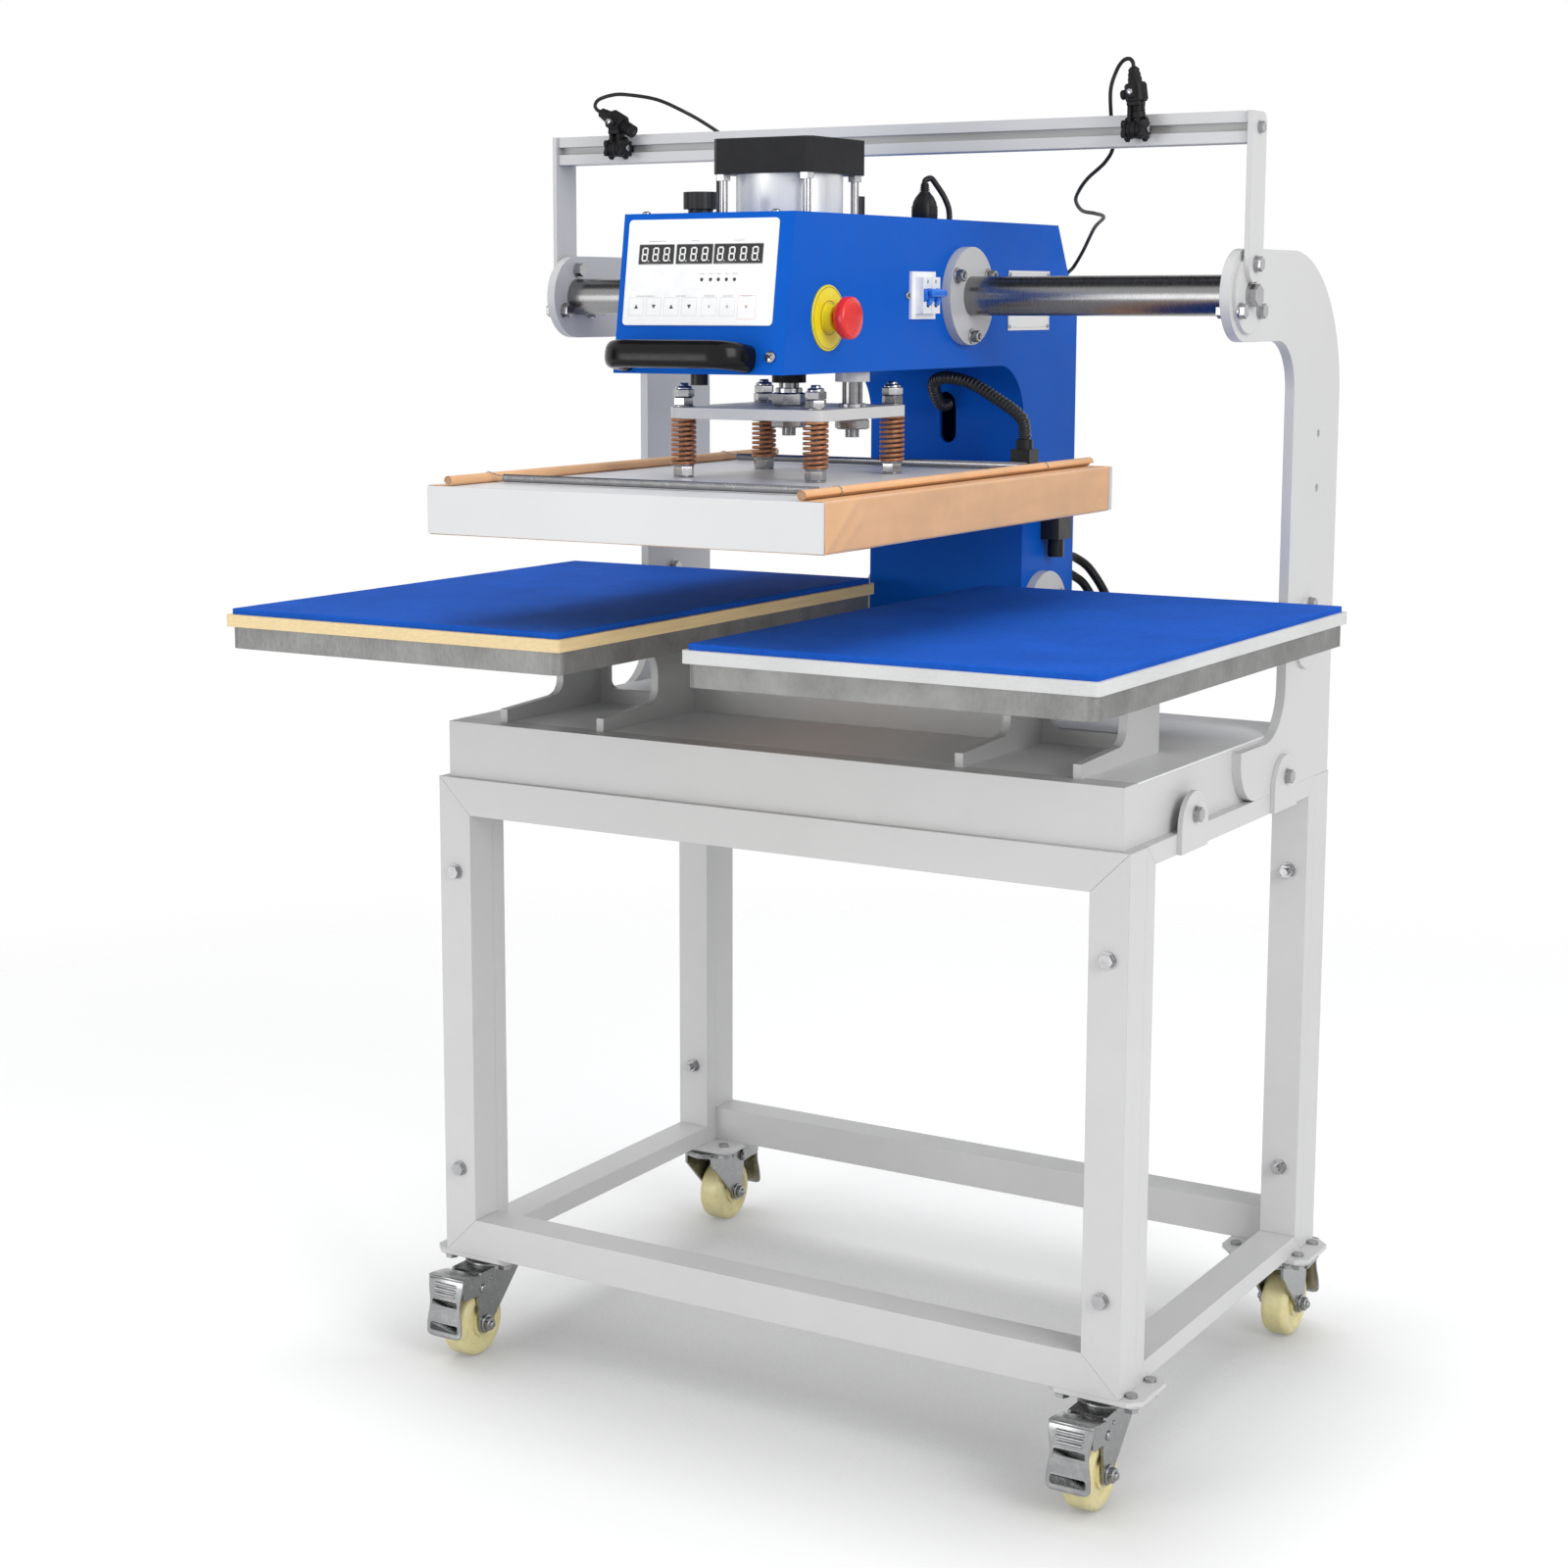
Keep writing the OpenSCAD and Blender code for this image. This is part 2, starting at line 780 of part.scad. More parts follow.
module gantry_bolts() {
  for (right = [0, 1]) mirror([right, 0, 0])
    translate([-plate_outer - disc_t - post_t, post_y, post_bolt_z])
      along_x() bolt_in(bar_bolt_d, post_t + bar_bolt_depth);
}

// ---------- tables
module bracket_outline() {
  top = bracket_height;
  union() {
    translate([bracket_front, 0]) square([bracket_back - bracket_front, top]);
    polygon([[toe_front, 0], [bracket_front + seam, 0], [bracket_front + seam, toe_back_h],
      [toe_front, toe_front_h]]);
    polygon([[arm_front, top], [bracket_front + seam, top], [bracket_front + seam, top - arm_back_h],
      [arm_front, top - arm_front_h]]);
    translate([bracket_front, toe_back_h - seam]) mirror([1, 0]) corner_fillet(toe_fillet);
    translate([bracket_front, top - arm_back_h + seam]) mirror([1, 0]) mirror([0, 1])
      corner_fillet(bracket_fillet);
  }
}

web_half = table_offset + bracket_pitch / 2 + bracket_t / 2;

module table_brackets() {
  color("gainsboro") {
    for (sx = [-1, 1], n = [0, 1])
      translate([sx * (table_offset - bracket_pitch / 2 + n * bracket_pitch) - bracket_t / 2, 0, base_top])
        extrude_x(bracket_t) bracket_outline();
    translate([0, bracket_back + seam, base_top]) extrude_y(web_t) difference() {
      translate([-web_half, 0]) square([2 * web_half, bracket_height]);
      for (sx = [-1, 1]) translate([sx * table_offset,
        web_window_low + (bracket_height - web_window_low - web_window_high) / 2])
        rounded_rect(bracket_pitch - bracket_t - 2 * web_window_side,
          bracket_height - web_window_low - web_window_high, web_window_r);
    }
  }
}

module table_slab(x, w, d, r, z, t) {
  translate([x, table_y, z]) linear_extrude(t) rounded_rect(w, d, r);
}

module table_bodies() {
  color("darkgray") for (sx = [-1, 1])
    table_slab(sx * table_offset, pad_width + 2 * body_lip, pad_depth + 2 * body_lip, table_corner,
      table_bottom, table_body_t);
}

plate_corner = 4;
module table_plate(sx) {
  table_slab(sx * table_offset, pad_width + 2 * plate_lip, pad_depth + 2 * plate_lip_y, plate_corner,
    table_bottom + table_body_t, table_plate_t);
}

module table_plate_left() { color("wheat") table_plate(-1); }
module table_plate_right() { color("lightgray") table_plate(1); }

pad_corner = 3;
module table_pads() {
  color("mediumblue") for (sx = [-1, 1])
    table_slab(sx * table_offset, pad_width, pad_depth, pad_corner, pad_top - pad_t, pad_t);
}

// ---------- positioning lights on the gantry
bar_front = post_y - gantry_bar_side / 2;
bar_mid_z = gantry_top - gantry_bar_side / 2;
laser_left_x = -314;
laser_right_x = 294;
laser_foot_w = 16;
laser_foot_h = 16;
laser_foot_t = 6;
laser_nut_w = 14;
laser_nut_t = 3;
laser_stud_r = 3;
laser_pivot_out = 16.5;   // pivot in front of the bar
knuckle_r = 9;
knuckle_t = 5;
lug_neck_share = 0.7;
knuckle_pin_r = 3;
fork_disc_t = 4;
laser_arm_h = [18, 25];   // left, right
laser_block = 20;
laser_block_h = 30;
laser_r = 7;
laser_length = 36;
laser_cap_r = 6;
laser_cap_l = 7;

module laser_clamp(x) {
  translate([x, bar_front, bar_mid_z]) {
    // foot against the bar, with its lug for the pivot
    union() {
      translate([-laser_foot_w / 2, -laser_foot_t, -laser_foot_h / 2])
        cube([laser_foot_w, laser_foot_t, laser_foot_h]);
      difference() {
        union() {
          translate([-knuckle_t / 2, -laser_pivot_out, 0]) along_x() cylinder(r = knuckle_r, h = knuckle_t);
          translate([-knuckle_t / 2, -laser_pivot_out, -knuckle_r * lug_neck_share])
            cube([knuckle_t, laser_pivot_out - seam, 2 * knuckle_r * lug_neck_share]);
        }
        translate([-knuckle_t / 2 - cut, -laser_pivot_out, 0]) along_x()
          cylinder(r = knuckle_pin_r + fit, h = knuckle_t + 2 * cut);
      }
      translate([0, slot_lip + laser_nut_t, 0]) along_minus_y()
        cylinder(r = laser_stud_r, h = slot_lip + laser_nut_t + laser_foot_t / 2);
      translate([-laser_nut_w / 2, slot_lip + gap, -slot_inner / 2 + gap])
        cube([laser_nut_w, laser_nut_t, slot_inner - 2 * gap]);
    }
  }
}

// light head, with its pivot at the origin and its barrel leaning by lean degrees about Y
module laser_head(lean, arm_h) {
  fork_x = knuckle_t / 2 + gap;
  for (s = [0, 1]) mirror([s, 0, 0]) translate([fork_x, 0, 0]) along_x()
    cylinder(r = knuckle_r, h = fork_disc_t);
  along_x() translate([0, 0, -fork_x - fork_disc_t / 2])
    cylinder(r = knuckle_pin_r, h = 2 * fork_x + fork_disc_t);
  for (s = [0, 1]) mirror([s, 0, 0]) translate([fork_x, -knuckle_r, 0])
    cube([fork_disc_t, 2 * knuckle_r, arm_h]);
  translate([-fork_x - fork_disc_t, -knuckle_r, arm_h - fork_disc_t])
    cube([2 * (fork_x + fork_disc_t), 2 * knuckle_r, fork_disc_t * 2]);
  translate([0, 0, arm_h + laser_block / 2]) rotate([0, lean, 0]) {
    translate([-laser_block / 2, -laser_block / 2, -laser_block_h / 2])
      cube([laser_block, laser_block, laser_block_h]);
    translate([0, 0, -laser_length / 2]) cylinder(r = laser_r, h = laser_length);
    for (s = [0, 1]) mirror([0, 0, s]) translate([0, 0, laser_length / 2])
      cylinder(r = laser_cap_r, h = laser_cap_l);
  }
}

laser_lean = [-62, -8];
module laser_clamp_left() { color("dimgray") laser_clamp(laser_left_x); }
module laser_clamp_right() { color("dimgray") laser_clamp(laser_right_x); }
module laser_head_left() {
  color("dimgray") translate([laser_left_x, bar_front - laser_pivot_out, bar_mid_z]) union()
    laser_head(laser_lean[0], laser_arm_h[0]);
}
module laser_head_right() {
  color("dimgray") translate([laser_right_x, bar_front - laser_pivot_out, bar_mid_z]) union()
    laser_head(laser_lean[1], laser_arm_h[1]);
}

// ---------- swept tubes
function unit(v) = v / norm(v);
function path_dir(p, i) =
  i == 0 ? unit(p[1] - p[0]) :
  i == len(p) - 1 ? unit(p[i] - p[i - 1]) :
  unit(unit(p[i + 1] - p[i]) + unit(p[i] - p[i - 1]));
function path_sides(p, i, n) =
  let (d = path_dir(p, i), m = unit(n - (n * d) * d))
  i == len(p) - 1 ? [m] : concat([m], path_sides(p, i + 1, m));
function ring(c, n, b, ra, rb, sides) =
  [for (k = [0 : sides - 1]) c + ra * cos(k * ring_turn / sides) * n + rb * sin(k * ring_turn / sides) * b];
function skin(rings, sides) =
  [for (i = [0 : rings - 2], k = [0 : sides - 1])
    let (a = i * sides + k, b = i * sides + (k + 1) % sides)
    each [[a, b, a + sides], [b, b + sides, a + sides]]];
function fan(first, sides, flip) =
  [for (k = [1 : sides - 2]) flip ? [first, first + k, first + k + 1] : [first, first + k + 1, first + k]];

// tube through p, with its section's first half-axis along the side vectors n
module tube(p, n, ra, rb, sides) {
  pts = [for (i = [0 : len(p) - 1]) each ring(p[i], n[i], cross(path_dir(p, i), n[i]), ra, rb, sides)];
  polyhedron(pts, concat(fan(0, sides, true), skin(len(p), sides),
    fan((len(p) - 1) * sides, sides, false)));
}

function spline_point(a, b, c, d, t) =
  (2 * b + (c - a) * t + (2 * a - 5 * b + 4 * c - d) * pow(t, 2) + (3 * b - a - 3 * c + d) * pow(t, 3)) / 2;
function smooth_path(p, steps) =
  [for (i = [0 : len(p) - 2], s = [0 : steps - 1])
    spline_point(p[max(i - 1, 0)], p[i], p[i + 1], p[min(i + 2, len(p) - 1)], s / steps), p[len(p) - 1]];

module cord(p, r, steps, side, sides = 8) {
  q = smooth_path(p, steps);
  tube(q, path_sides(q, 0, side), r, r, sides);
}

laser_cord_r = 2;
laser_cord_left_path = [[-336.3, -46.5, 1352.9], [-340.5, -46.5, 1355.2], [-343, -46.5, 1360],
  [-338, -46, 1366],
  [-322, -45, 1370], [-304, -44, 1370], [-270, -35, 1364], [-244, -20, 1351], [-228, 0, 1338],
    [-205, 20, 1318],
  [-165, 28, 1288], [-120, 20, 1256], [-94, 11, 1244], [-85, 7, 1236], [-84, 7, 1230.4]];
laser_cord_right_path = [[290.5, -46.5, 1373.1], [289.9, -46.5, 1377], [286, -46, 1380.5], [279, -45, 1379],
  [268, -35, 1371], [251, -10, 1355], [241, 15, 1330], [241, 22, 1303], [229, 30, 1287], [201, 50, 1272],
  [182, 70, 1260], [170, 90, 1251], [164, 120, 1242], [165, 150, 1240], [160, 184, 1237], [131, 225, 1227],
  [105, 254, 1203], [90, 263, 1186], [87, 256, 1180], [86, 247.8, 1174.7], [86, 243.4, 1172.3]];

module laser_cords() {
  color("black") {
    cord(laser_cord_left_path, laser_cord_r, 2, [0, 0, 1]);
    cord(laser_cord_right_path, laser_cord_r, 2, [0, 1, 0]);
  }
}

// ---------- press head
head_half = head_width / 2;
rear_run_share = head_rear_run / head_rear_drop;
rear_lean_share = norm([head_rear_run, head_rear_drop]) / head_rear_drop;
front_run_share = head_slope_run / head_beam_h;
front_lean_share = norm([head_slope_run, head_beam_h]) / head_beam_h;

// side outline of the head in Y and Z, drawn in by inset from every edge
module head_outline(inset) {
  y_front = head_front_top + inset * front_lean_share;
  y_slope = head_rear - head_rear_run - inset * rear_lean_share;
  y_column = column_front + inset;
  z_beam = head_bottom + inset;
  difference() {
    polygon([
      [y_front - inset * front_run_share, head_top - inset],
      [y_slope + inset * rear_run_share, head_top - inset],
      [head_rear - inset, head_top - head_rear_drop - inset * (rear_lean_share - 1) / rear_run_share],
      [head_rear - inset, column_bottom + inset],
      [y_column, column_bottom + inset],
      [y_column, z_beam - head_fillet],
      [y_column - head_fillet, z_beam - head_fillet],
      [y_column - head_fillet, z_beam],
      [y_front - head_slope_run + inset * front_run_share, z_beam]]);
    translate([y_column - head_fillet, z_beam - head_fillet]) circle(head_fillet);
  }
}

module at_flanges() {
  for (right = [0, 1]) mirror([right, 0, 0]) {
    translate([-head_half, upper_shaft_y, upper_shaft_z]) children();
    translate([-head_half, lower_shaft_y, lower_shaft_z]) children();
  }
}

flange_bolt_angles = [30, 150, 270];
module at_flange_bolts() {
  at_flanges() for (a = flange_bolt_angles)
    translate([0, flange_bolt_r * cos(a), flange_bolt_r * sin(a)]) children();
}

module flange_bolt_holes() {
  at_flange_bolts() translate([-flange_t - cut, 0, 0]) along_x()
    cylinder(d = flange_bolt_d + 2 * hole_fit, h = flange_t + head_wall + 2 * cut);
}

module at_cylinder() { translate([0, ram_y, 0]) children(); }
module at_tie_rods() {
  at_cylinder() for (sx = [-1, 1], sy = [-1, 1]) translate([sx * tie_rod_at, sy * tie_rod_at, 0])
    children();
}
barrel_r = cylinder_bore / 2 + barrel_wall;

module head_shell() {
  color("royalblue") difference() {
    translate([-head_half, 0, 0]) extrude_x(head_width) head_outline(0);
    translate([-head_half + head_wall, 0, 0]) extrude_x(head_width - 2 * head_wall) head_outline(head_wall);
    at_flanges() translate([-cut, 0, 0]) along_x()
      cylinder(r = sleeve_r + hole_fit, h = head_wall + 2 * cut);
    flange_bolt_holes();
    at_cylinder() translate([0, 0, head_top - head_wall - cut])
      cylinder(r = barrel_r + gap, h = head_wall + 2 * cut);
    at_tie_rods() translate([0, 0, head_top - head_wall - cut])
      cylinder(r = tie_rod_r + gap, h = head_wall + 2 * cut);
    at_cylinder() translate([0, 0, head_bottom - cut])
      cylinder(r = gland_r + hole_fit, h = head_wall + 2 * cut);
    translate([guide_x, ram_y, head_bottom - cut])
      cylinder(r = guide_sleeve_r + hole_fit, h = head_wall + 2 * cut);
    translate([head_half - head_wall - cut, estop_y, estop_z]) along_x()
      cylinder(r = estop_stem_r + hole_fit, h = head_wall + 2 * cut);
    translate([column_slot_x, column_front - head_fillet / 2, column_slot_low + column_slot_w / 2]) {
      along_y() cylinder(d = column_slot_w, h = head_fillet / 2 + head_wall + cut);
      translate([-column_slot_w / 2, 0, 0])
        cube([column_slot_w, head_fillet / 2 + head_wall + cut, column_slot_h - column_slot_w]);
      translate([0, 0, column_slot_h - column_slot_w]) along_y()
        cylinder(d = column_slot_w, h = head_fillet / 2 + head_wall + cut);
    }
  }
}

// places a shape on the sloping front: u to the right, v down from the top edge, -Y out of the face
module on_front(u, v) {
  translate([0, head_front_top, head_top]) rotate([-front_tilt, 0, 0]) translate([u, 0, -v]) children();
}

module control_panel() {
  color("white") on_front(panel_x, panel_drop) rotate([90, 0, 0]) difference() {
    linear_extrude(panel_t) rounded_rect(panel_width, panel_height, panel_corner);
    for (n = [0, 1, 2]) translate([display_x[n] - panel_x, panel_drop - display_drop,
      panel_t - display_t / 2])
      linear_extrude(display_t + cut) square([display_w[n], display_h], center = true);
  }
}

module handle() {
  color("black") on_front(handle_x, handle_drop) {
    translate([-handle_width / 2, -handle_reach, -handle_h / 2]) intersection() {
      translate([0, 0, 0]) linear_extrude(handle_h) translate([handle_width / 2, handle_reach / 2])
        difference() {
          rounded_rect(handle_width, handle_reach, handle_bar / 2);
          translate([0, handle_bar / 2]) square([handle_width - 2 * handle_foot_w,
            handle_reach - handle_bar], center = true);
        }
      translate([0, handle_reach, 0]) rotate([90, 0, 0]) linear_extrude(handle_reach)
        translate([handle_width / 2, handle_h / 2]) rounded_rect(handle_width, handle_h, handle_bar / 2);
    }
  }
}

guide_sleeve_r = 14;
guide_sleeve_h = 34;

module bearing_flanges() {
  color("lightgray") {
    difference() {
      at_flanges() union() {
        translate([-flange_t, 0, 0]) along_x() cylinder(r = flange_r, h = flange_t);
        along_x() cylinder(r = sleeve_r, h = sleeve_length);
      }
      at_flanges() translate([-flange_t - cut, 0, 0]) along_x()
        cylinder(r = shaft_d / 2 + fit, h = flange_t + sleeve_length + 2 * cut, $fn = 96);
      flange_bolt_holes();
    }
    translate([guide_x, ram_y, 0]) difference() {
      union() {
        translate([0, 0, head_bottom - guide_flange_h]) cylinder(r = guide_flange_r, h = guide_flange_h);
        translate([0, 0, head_bottom]) cylinder(r = guide_sleeve_r, h = guide_sleeve_h);
      }
      translate([0, 0, head_bottom - guide_flange_h - cut])
        cylinder(r = rod_d / 2 + fit, h = guide_flange_h + guide_sleeve_h + 2 * cut);
    }
  }
}

module head_screws() {
  color("silver") {
    at_flange_bolts() translate([-flange_t, 0, 0]) along_x() bolt_in(flange_bolt_d, flange_t + head_wall);
  }
}

module nameplate() {
  color("silver") translate([head_half, name_y - name_w / 2, name_z - name_h / 2])
    cube([name_t, name_w, name_h]);
}

module breaker_body() {
  color("white") translate([head_half, breaker_y, breaker_z]) difference() {
    union() {
      translate([0, -breaker_w / 2, -breaker_h / 2]) cube([breaker_plate_t, breaker_w, breaker_h]);
      translate([0, -breaker_body_w / 2, -breaker_body_w / 2])
        cube([breaker_plate_t + breaker_body_t, breaker_body_w, breaker_body_w]);
    }
    translate([toggle_x, -toggle_w / 2 - gap, 0]) along_y()
      cylinder(r = toggle_r + gap, h = toggle_w + 2 * gap);
  }
}
toggle_x = breaker_plate_t + breaker_body_t - toggle_r / 2;

module breaker_toggle() {
  color("dodgerblue") translate([head_half + toggle_x, breaker_y, breaker_z]) union() {
    translate([0, -toggle_w / 2, 0]) along_y() cylinder(r = toggle_r, h = toggle_w);
    translate([0, -toggle_w / 2, -toggle_bar / 2]) cube([toggle_reach, toggle_w, toggle_bar]);
  }
}

module estop_base() {
  color("gold") translate([head_half, estop_y, estop_z]) along_x() difference() {
    union() {
      cylinder(r = estop_disc_r, h = estop_disc_t);
      cylinder(r = estop_neck_r, h = estop_disc_t + estop_neck_t);
    }
    translate([0, 0, -cut]) cylinder(r = estop_stem_r + fit, h = estop_disc_t + estop_neck_t + 2 * cut);
  }
}

module estop_button() {
  back = estop_disc_t + estop_neck_t + estop_travel + estop_clear;
  color("red") translate([head_half, estop_y, estop_z]) along_x() union() {
    translate([0, 0, back - estop_stem_l]) cylinder(r = estop_stem_r, h = estop_stem_l);
    translate([0, 0, back]) rotate_extrude() {
      square([estop_mush_r, estop_mush_t / 2]);
      translate([0, estop_mush_t / 2]) square([estop_mush_r - estop_mush_t / 2, estop_mush_t / 2]);
      intersection() {
        translate([estop_mush_r - estop_mush_t / 2, estop_mush_t / 2]) circle(estop_mush_t / 2);
        square([estop_mush_r, estop_mush_t]);
      }
    }
  }
}

module regulator_knob() {
  color("black") translate([knob_x, knob_y, head_top + knob_base_h + gap]) difference() {
    cylinder(r = knob_r, h = knob_h);
    for (a = [0 : knob_flutes - 1]) rotate(a * ring_turn / knob_flutes)
      translate([knob_r + knob_flute_r / 2, 0, -cut]) cylinder(r = knob_flute_r, h = knob_h + 2 * cut);
    translate([0, 0, -cut]) cylinder(r = knob_stem_r + fit, h = knob_h - knob_flute_r + cut);
  }
}
knob_flutes = 12;
knob_flute_r = 2;
knob_stem_r = 4;

// ---------- cylinder
cap_low_top = head_bottom + head_wall + cap_low_h;
cap_top_low = cap_top_z - cap_top_h;
tie_rod_seat = 14;

module cylinder_barrel() {
  color("silver") at_cylinder() translate([0, 0, cap_low_top]) difference() {
    cylinder(r = barrel_r, h = cap_top_low - cap_low_top, $fn = 96);
    translate([0, 0, -cut]) cylinder(d = cylinder_bore, h = cap_top_low - cap_low_top + 2 * cut, $fn = 96);
  }
}

module cylinder_caps() {
  color("black") difference() {
    at_cylinder() union() {
      translate([0, 0, cap_top_low]) linear_extrude(cap_top_h)
        chamfered_rect(cap_side, cap_side, cap_chamfer);
      translate([0, 0, head_bottom + head_wall]) linear_extrude(cap_low_h)
        chamfered_rect(cap_side, cap_side, cap_chamfer);
      translate([0, 0, head_bottom - gland_h]) cylinder(r = gland_r, h = gland_h + head_wall + cap_low_h);
    }
    at_cylinder() translate([0, 0, head_bottom - gland_h - cut])
      cylinder(r = rod_d / 2 + fit, h = gland_h + head_wall + cap_low_h + 2 * cut);
    at_tie_rods() translate([0, 0, cap_low_top - tie_rod_seat])
      cylinder(r = tie_rod_r + fit, h = cap_top_low - cap_low_top + 2 * tie_rod_seat);
  }
}

module tie_rods() {
  color("silver") at_tie_rods() union() {
    translate([0, 0, cap_low_top - tie_rod_seat + seam])
      cylinder(r = tie_rod_r, h = cap_top_low - cap_low_top + 2 * tie_rod_seat - 2 * seam);
    translate([0, 0, cap_low_top]) hex(tie_nut_af, tie_nut_h);
    translate([0, 0, cap_top_low - tie_nut_h]) hex(tie_nut_af, tie_nut_h);
  }
}

elbow_z = 1284;
elbow_r = 6;
elbow_l = 21;
elbow_y = -215;
air_tube_r = 4;
top_plug_x = 39;
top_plug_y = -140;
top_plug_h = 21;
valve_x = -48.5;
valve_y = -300;
valve_r = 8.5;
valve_h = 13;

module air_fittings() {
  color("dimgray") {
    union() {
      translate([-cap_side / 2, elbow_y, elbow_z]) along_minus_x() cylinder(r = elbow_r, h = elbow_l);
      translate([-cap_side / 2 - elbow_l, elbow_y, elbow_z]) sphere(elbow_r);
      translate([-cap_side / 2 - elbow_l, elbow_y, head_top])
        cylinder(r = air_tube_r, h = elbow_z - head_top);
      translate([-cap_side / 2 - elbow_l, elbow_y, head_top]) cylinder(r = elbow_r, h = elbow_r);
    }
    translate([top_plug_x, top_plug_y, head_top]) cylinder(r = elbow_r, h = top_plug_h);
    translate([knob_x, knob_y, head_top]) union() {
      cylinder(r = knob_base_r, h = knob_base_h);
      cylinder(r = knob_stem_r, h = knob_base_h + knob_h - 2 * knob_flute_r);
    }
    translate([valve_x, valve_y, head_bottom - valve_h]) cylinder(r = valve_r, h = valve_h);
    translate([head_half, bowl_y, bowl_z]) union() {
      translate([0, -bowl_d / 2, -bowl_cap_h / 2]) cube([bowl_w, bowl_d, bowl_cap_h]);
      translate([bowl_w / 2, 0, -bowl_cap_h / 2 - bowl_h])
        cylinder(d = bowl_w - 2 * bowl_lip, h = bowl_h + cut);
    }
  }
}
bowl_y = 196;
bowl_z = 903;
bowl_w = 22;
bowl_d = 34;
bowl_cap_h = 30;
bowl_h = 20;
bowl_lip = 2;

plug_x = 71;
plug_y = -60;
plug_w = 22;
plug_d = 24;
plug_h = 26;
plug_boot_r = 6;
plug_boot_h = 10;
plug_cord_r = 3;
plug_cord_path = [[71, -60, 1266.3], [71.3, -59.5, 1269], [75, -54, 1271], [79, -49, 1264], [84, -44, 1254],
  [88, -41, 1243], [89, -40, 1235], [89, -40, 1230.3]];

module power_plug() {
  color("black") {
    translate([plug_x, plug_y, head_top]) union() {
      linear_extrude(plug_h) rounded_rect(plug_w, plug_d, plug_boot_r);
      cylinder(r = plug_boot_r, h = plug_h + plug_boot_h);
    }
    cord(plug_cord_path, plug_cord_r, 2, [1, 0, 0]);
  }
}

rear_hose_r = 5;
rear_hose_paths = [
  [[84, 265.3, 862], [84, 274, 862], [88, 288, 858], [100, 300, 845], [118, 306, 815], [132, 298, 782],
    [142, 276, 757],
    [148, 246, 744], [150, 214, 741], [150, 190, 735], [150, 174, 724], [150, 168, 712], [150, 168, 704.4]],
  [[84, 265.3, 842], [84, 274, 842], [87, 287, 837], [96, 297, 826], [110, 302, 798], [121, 292, 768],
    [128, 268, 746],
    [131, 240, 737], [132, 212, 736], [132, 189, 731], [132, 174, 723], [132, 168, 712], [132, 168, 704.4]],
  [[66, 265.3, 824], [66, 274, 824], [69, 287, 819], [78, 296, 808], [93, 300, 782], [104, 288, 755],
    [110, 264, 739],
    [113, 238, 733], [114, 210, 732], [114, 188, 728], [114, 174, 722], [114, 168, 712],
      [114, 168, 704.4]]];

module rear_hoses() {
  color("black") for (p = rear_hose_paths) cord(p, rear_hose_r, 1, [1, 0, 0]);
}

// ---------- ram and floating plate
float_bottom = float_top - float_t;
piston_top = cap_top_low - piston_rest;
thread_r = rod_d / 2 - thread_step;

module rod_foot(top) {
  union() {
    translate([0, 0, float_top + seam]) cylinder(d = rod_d, h = top - float_top - seam);
    translate([0, 0, float_bottom - seam - rod_nut_h - rod_thread_end])
      cylinder(r = thread_r, h = rod_thread_end + rod_nut_h + float_t + 2 * seam + coupling_h / 2);
    translate([0, 0, float_bottom - seam - rod_nut_h]) hex(rod_nut_af, rod_nut_h);
    translate([0, 0, float_top + seam]) hex(coupling_af, coupling_h);
  }
}

module ram_rods() {
  color("silver") {
    at_cylinder() union() {
      rod_foot(piston_top);
      translate([0, 0, piston_top - piston_t])
        cylinder(r = cylinder_bore / 2 - piston_fit, h = piston_t, $fn = 96);
    }
    translate([guide_x, ram_y, 0]) rod_foot(guide_top);
  }
}

module at_studs() {
  at_cylinder() for (sx = [-1, 1], sy = [-1, 1]) translate([sx * stud_at_x, sy * stud_at_y, 0]) children();
}

module floating_plate() {
  color("gainsboro") difference() {
    translate([0, ram_y, float_bottom]) linear_extrude(float_t)
      rounded_rect(float_plate, float_plate, float_corner);
    at_studs() translate([0, 0, float_bottom - cut]) cylinder(r = stud_r + gap, h = float_t + 2 * cut);
    for (x = [0, guide_x]) translate([x, ram_y, float_bottom - cut])
      cylinder(r = thread_r + hole_fit, h = float_t + 2 * cut);
  }
}

// ---------- heater
shell_low = heater_bottom + cloth_t;
stud_seat = 10;
stud_root = heater_top - cover_t - stud_seat;
boss_r = 12;
plate_gap = 0.5;

module heater_cover() {
  color("gainsboro") difference() {
    translate([-heater_width / 2, heater_front, shell_low])
      cube([heater_width, heater_depth, heater_top - shell_low]);
    translate([-heater_width / 2 + cover_t, heater_front + cover_t, shell_low - cut])
      cube([heater_width - 2 * cover_t, heater_depth - 2 * cover_t,
        heater_top - cover_t - shell_low + cut]);
    at_studs() translate([0, 0, heater_top - cover_t - cut])
      cylinder(r = stud_r + hole_fit, h = cover_t + 2 * cut);
    translate([gland_x, gland_y, heater_top - cover_t - cut])
      cylinder(r = hose_bore_r, h = cover_t + 2 * cut);
  }
}

module heater_plate() {
  inset = cover_t + plate_gap;
  color("silver") difference() {
    union() {
      translate([-heater_width / 2 + inset, heater_front + inset, shell_low])
        cube([heater_width - 2 * inset, heater_depth - 2 * inset, heater_plate_t]);
      at_studs() translate([0, 0, shell_low])
        cylinder(r = boss_r, h = heater_top - cover_t - seam - shell_low);
    }
    at_studs() translate([0, 0, stud_root]) cylinder(r = stud_r + hole_fit, h = stud_seat + cut);
  }
}

